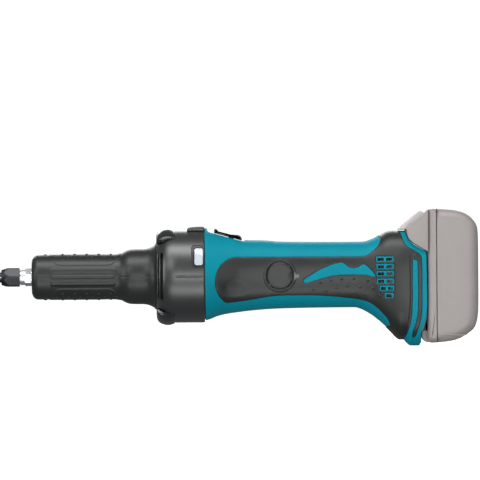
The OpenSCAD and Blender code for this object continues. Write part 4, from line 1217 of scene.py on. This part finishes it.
def front_weight(x, z):
    if x > 370.9:
        return 0.035
    if z > 54 or z < -54:
        return 0.75
    return 0.46


parts = [pack_part(front_runs, -37.45, 37.45, front_weight)]
wedge = [[(345.7, 38.2), (345, 40.3)], [(345, 40.3), (364.6, 55.7)], [(364.6, 55.7), (364.6, 19.2)],
         [(364.6, 19.2), (358, 23.1), (351.2, 27.4), (347.9, 30.6), (346.4, 34.2), (345.7, 38.2)]]
for s in (-1, 1):
    y = sorted((s * 16.5, s * 36.9))
    loop = outline(*wedge, step=1.2)
    body = slab(loop, y[0], y[1], r=0.8)
    outer = s * 36.9
    parts.append(([(x, yy - s * max(0, 1 - (x - 345.5) / 19) * 1.6 * (abs(yy) > 30), z) for x, yy,
                   z in body[0]], body[1]))
parts.append(slab(outline([(354.6, 41.4), (364.6, 49.6)], [(364.6, 49.6), (364.6, 19.2)],
                          [(364.6, 19.2), (354.6, 25.3)], [(354.6, 25.3), (354.6, 41.4)], step=1.2), -16.6,
                          16.6, r=0.3))
for y0, y1 in ((-25.2, -15.5), (-12.5, 12.5), (15.5, 25.2)):
    parts.append(block((351, 354.7), (y0, y1), (-47.4, -16.5), 0.4))
parts.append(block((351, 354.7), (-25.2, 25.2), (-17, 19), 0.4))
for y0, y1 in ((-22, -15.5), (-12.5, 12.5), (15.5, 22)):
    parts.append(block((354.4, 361.2), (y0, y1), (-47.4, -16.5), 0.3))
parts.append(block((354.4, 361.2), (-22, 22), (-17, 19), 0.3))
parts.append(block((361, 364.4), (-22, 22), (-47.4, 19), 0.3))
lip = [[(364.4, -57), (362.6, -57.1), (360.4, -55.9), (359, -54), (358.3, -51.6), (358.4, -49),
        (359.6, -45), (362, -38.3), (364.4, -30)], [(364.4, -30), (364.4, -57)]]
for y0, y1 in ((-22, -15.5), (-12.5, 12.5), (15.5, 22)):
    parts.append(slab(outline(*lip, step=1.0), y0, y1, r=0.6))
v, f = merge(*parts)
make("pack_front_case", v, f, PACK, "battery", ("battery_front_case",), sharp=45)

button = slab(outline([(338.7, 39.8), (339, 38.6)], [(339, 38.6), (341.9, 38.3), (345, 38.3)],
                      [(345, 38.3), (347.2, 39.9), (361.2, 51.3)],
                      [(361.2, 51.3), (360.6, 52.9), (358.4, 54.4)],
                      [(358.4, 54.4), (356.9, 54.6), (355.8, 54.0)], [(355.8, 54.0), (338.7, 39.8)],
                      step=1.0), -15.9, 15.9, r=0.9)
slope = math.atan2(54.0 - 39.8, 355.8 - 338.7)
grips = []
for k in range(5):
    c = 4.5 + 3.2 * k
    bar = block((-0.5, 0.5), (-11, 11), (-0.5, 0.35), 0.3)
    grips.append(moved(turned(bar, "Y", -slope),
                       (338.7 + c * math.cos(slope), 0, 39.8 + c * math.sin(slope))))
tongue = block((344.5, 348.5), (-6.9, 6.9), (30.7, 41.4), 0.4)
hook = block((343.1, 345.2), (-6.9, 6.9), (30.7, 33.1), 0.4)
v, f = merge(button, *grips, tongue, hook)
make("pack_button", v, f, PACK_LIGHT, "battery_latch", ("battery_latch",), sharp=40)

# ------------------------------------------------------------------ room, light and camera

FLOOR_Z = CAD_BOX[0][2]


def cyclorama():
    """A round pale floor that curves up into a wall on all sides."""
    flat, bend, top, n = 13.0, 2.0, 12.0, 72
    run = [(flat, FLOOR_Z)]
    for a in np.linspace(0.1, PI / 2, 16):
        run.append((flat + bend * math.sin(a), FLOOR_Z + bend - bend * math.cos(a)))
    run.append((flat + bend, top))
    verts = [(0.0, 0.0, FLOOR_Z)]
    for r, z in run:
        verts += [(r * math.cos(2 * PI * k / n), r * math.sin(2 * PI * k / n), z) for k in range(n)]
    faces = [(0, 1 + k, 1 + (k + 1) % n) for k in range(n)]
    for i in range(len(run) - 1):
        a, b = 1 + i * n, 1 + (i + 1) * n
        faces += [(a + k, b + k, b + (k + 1) % n, a + (k + 1) % n) for k in range(n)]
    me = bpy.data.meshes.new("studio_floor")
    me.from_pydata(verts, [], faces)
    me.shade_smooth()
    ob = bpy.data.objects.new("studio_floor", me)
    bpy.context.scene.collection.objects.link(ob)
    paper = shader("studio_paper", (0.5, 0.5, 0.5), 0.85, tint=0.005, tint_size=400)
    glow = paper.node_tree.nodes["Principled BSDF"]
    glow.inputs["Emission Color"].default_value = (1, 1, 1, 1)
    glow.inputs["Emission Strength"].default_value = 0.98
    ob.visible_diffuse = False
    ob.visible_glossy = False
    ob.visible_shadow = False
    me.materials.append(paper)
    return ob


def area_light(name, at, target, size, size_y, power, color=(1, 1, 1)):
    data = bpy.data.lights.new(name, "AREA")
    data.shape = "RECTANGLE"
    data.size, data.size_y, data.energy, data.color = size, size_y, power, color
    ob = bpy.data.objects.new(name, data)
    ob.location = at
    ob.rotation_euler = (Vector(target) - Vector(at)).to_track_quat("-Z", "Y").to_euler()
    bpy.context.scene.collection.objects.link(ob)


cyclorama()
area_light("top_softbox", (0.1, -0.5, 1.3), (0.2, 0, 0.02), 1.6, 0.6, 15)
area_light("key_softbox", (-0.9, -1.8, 1.3), (0.2, 0, 0), 1.0, 1.0, 9)
area_light("left_strip", (-1.4, -0.7, 0.35), (0.1, 0, 0), 0.35, 1.3, 7)
area_light("right_strip", (1.5, -1.2, 0.5), (0.2, 0, 0), 0.5, 1.4, 5)
area_light("front_fill", (0.25, -3.2, 0.0), (0.2, 0, -0.02), 2.4, 1.1, 27)
area_light("low_fill", (0.2, -1.6, -1.1), (0.2, 0, -0.02), 2.2, 0.6, 13)
area_light("back_fill", (0.2, 2.6, 1.0), (0.2, 0, 0), 2.2, 1.2, 30)
world = bpy.data.worlds.new("studio")
bpy.context.scene.world = world
world.use_nodes = True
world.node_tree.nodes["Background"].inputs[0].default_value = (0.96, 0.98, 1.0, 1)
world.node_tree.nodes["Background"].inputs[1].default_value = 0.16
bpy.context.scene.view_settings.view_transform = "Standard"

cam_data = bpy.data.cameras.new("camera")
cam = bpy.data.objects.new("camera", cam_data)
bpy.context.scene.collection.objects.link(cam)
cam_data.lens = 800
cam_data.sensor_width = 36
cam_data.clip_end = 60
camera_at = (0.2047, -9.067, 0.0306)
roll = math.radians(0.36)
level = Matrix.Rotation(PI / 2, 4, "X")
cam.matrix_world = Matrix.Translation(camera_at) @ Matrix.Rotation(roll, 4, "Y") @ level
bpy.context.scene.camera = cam
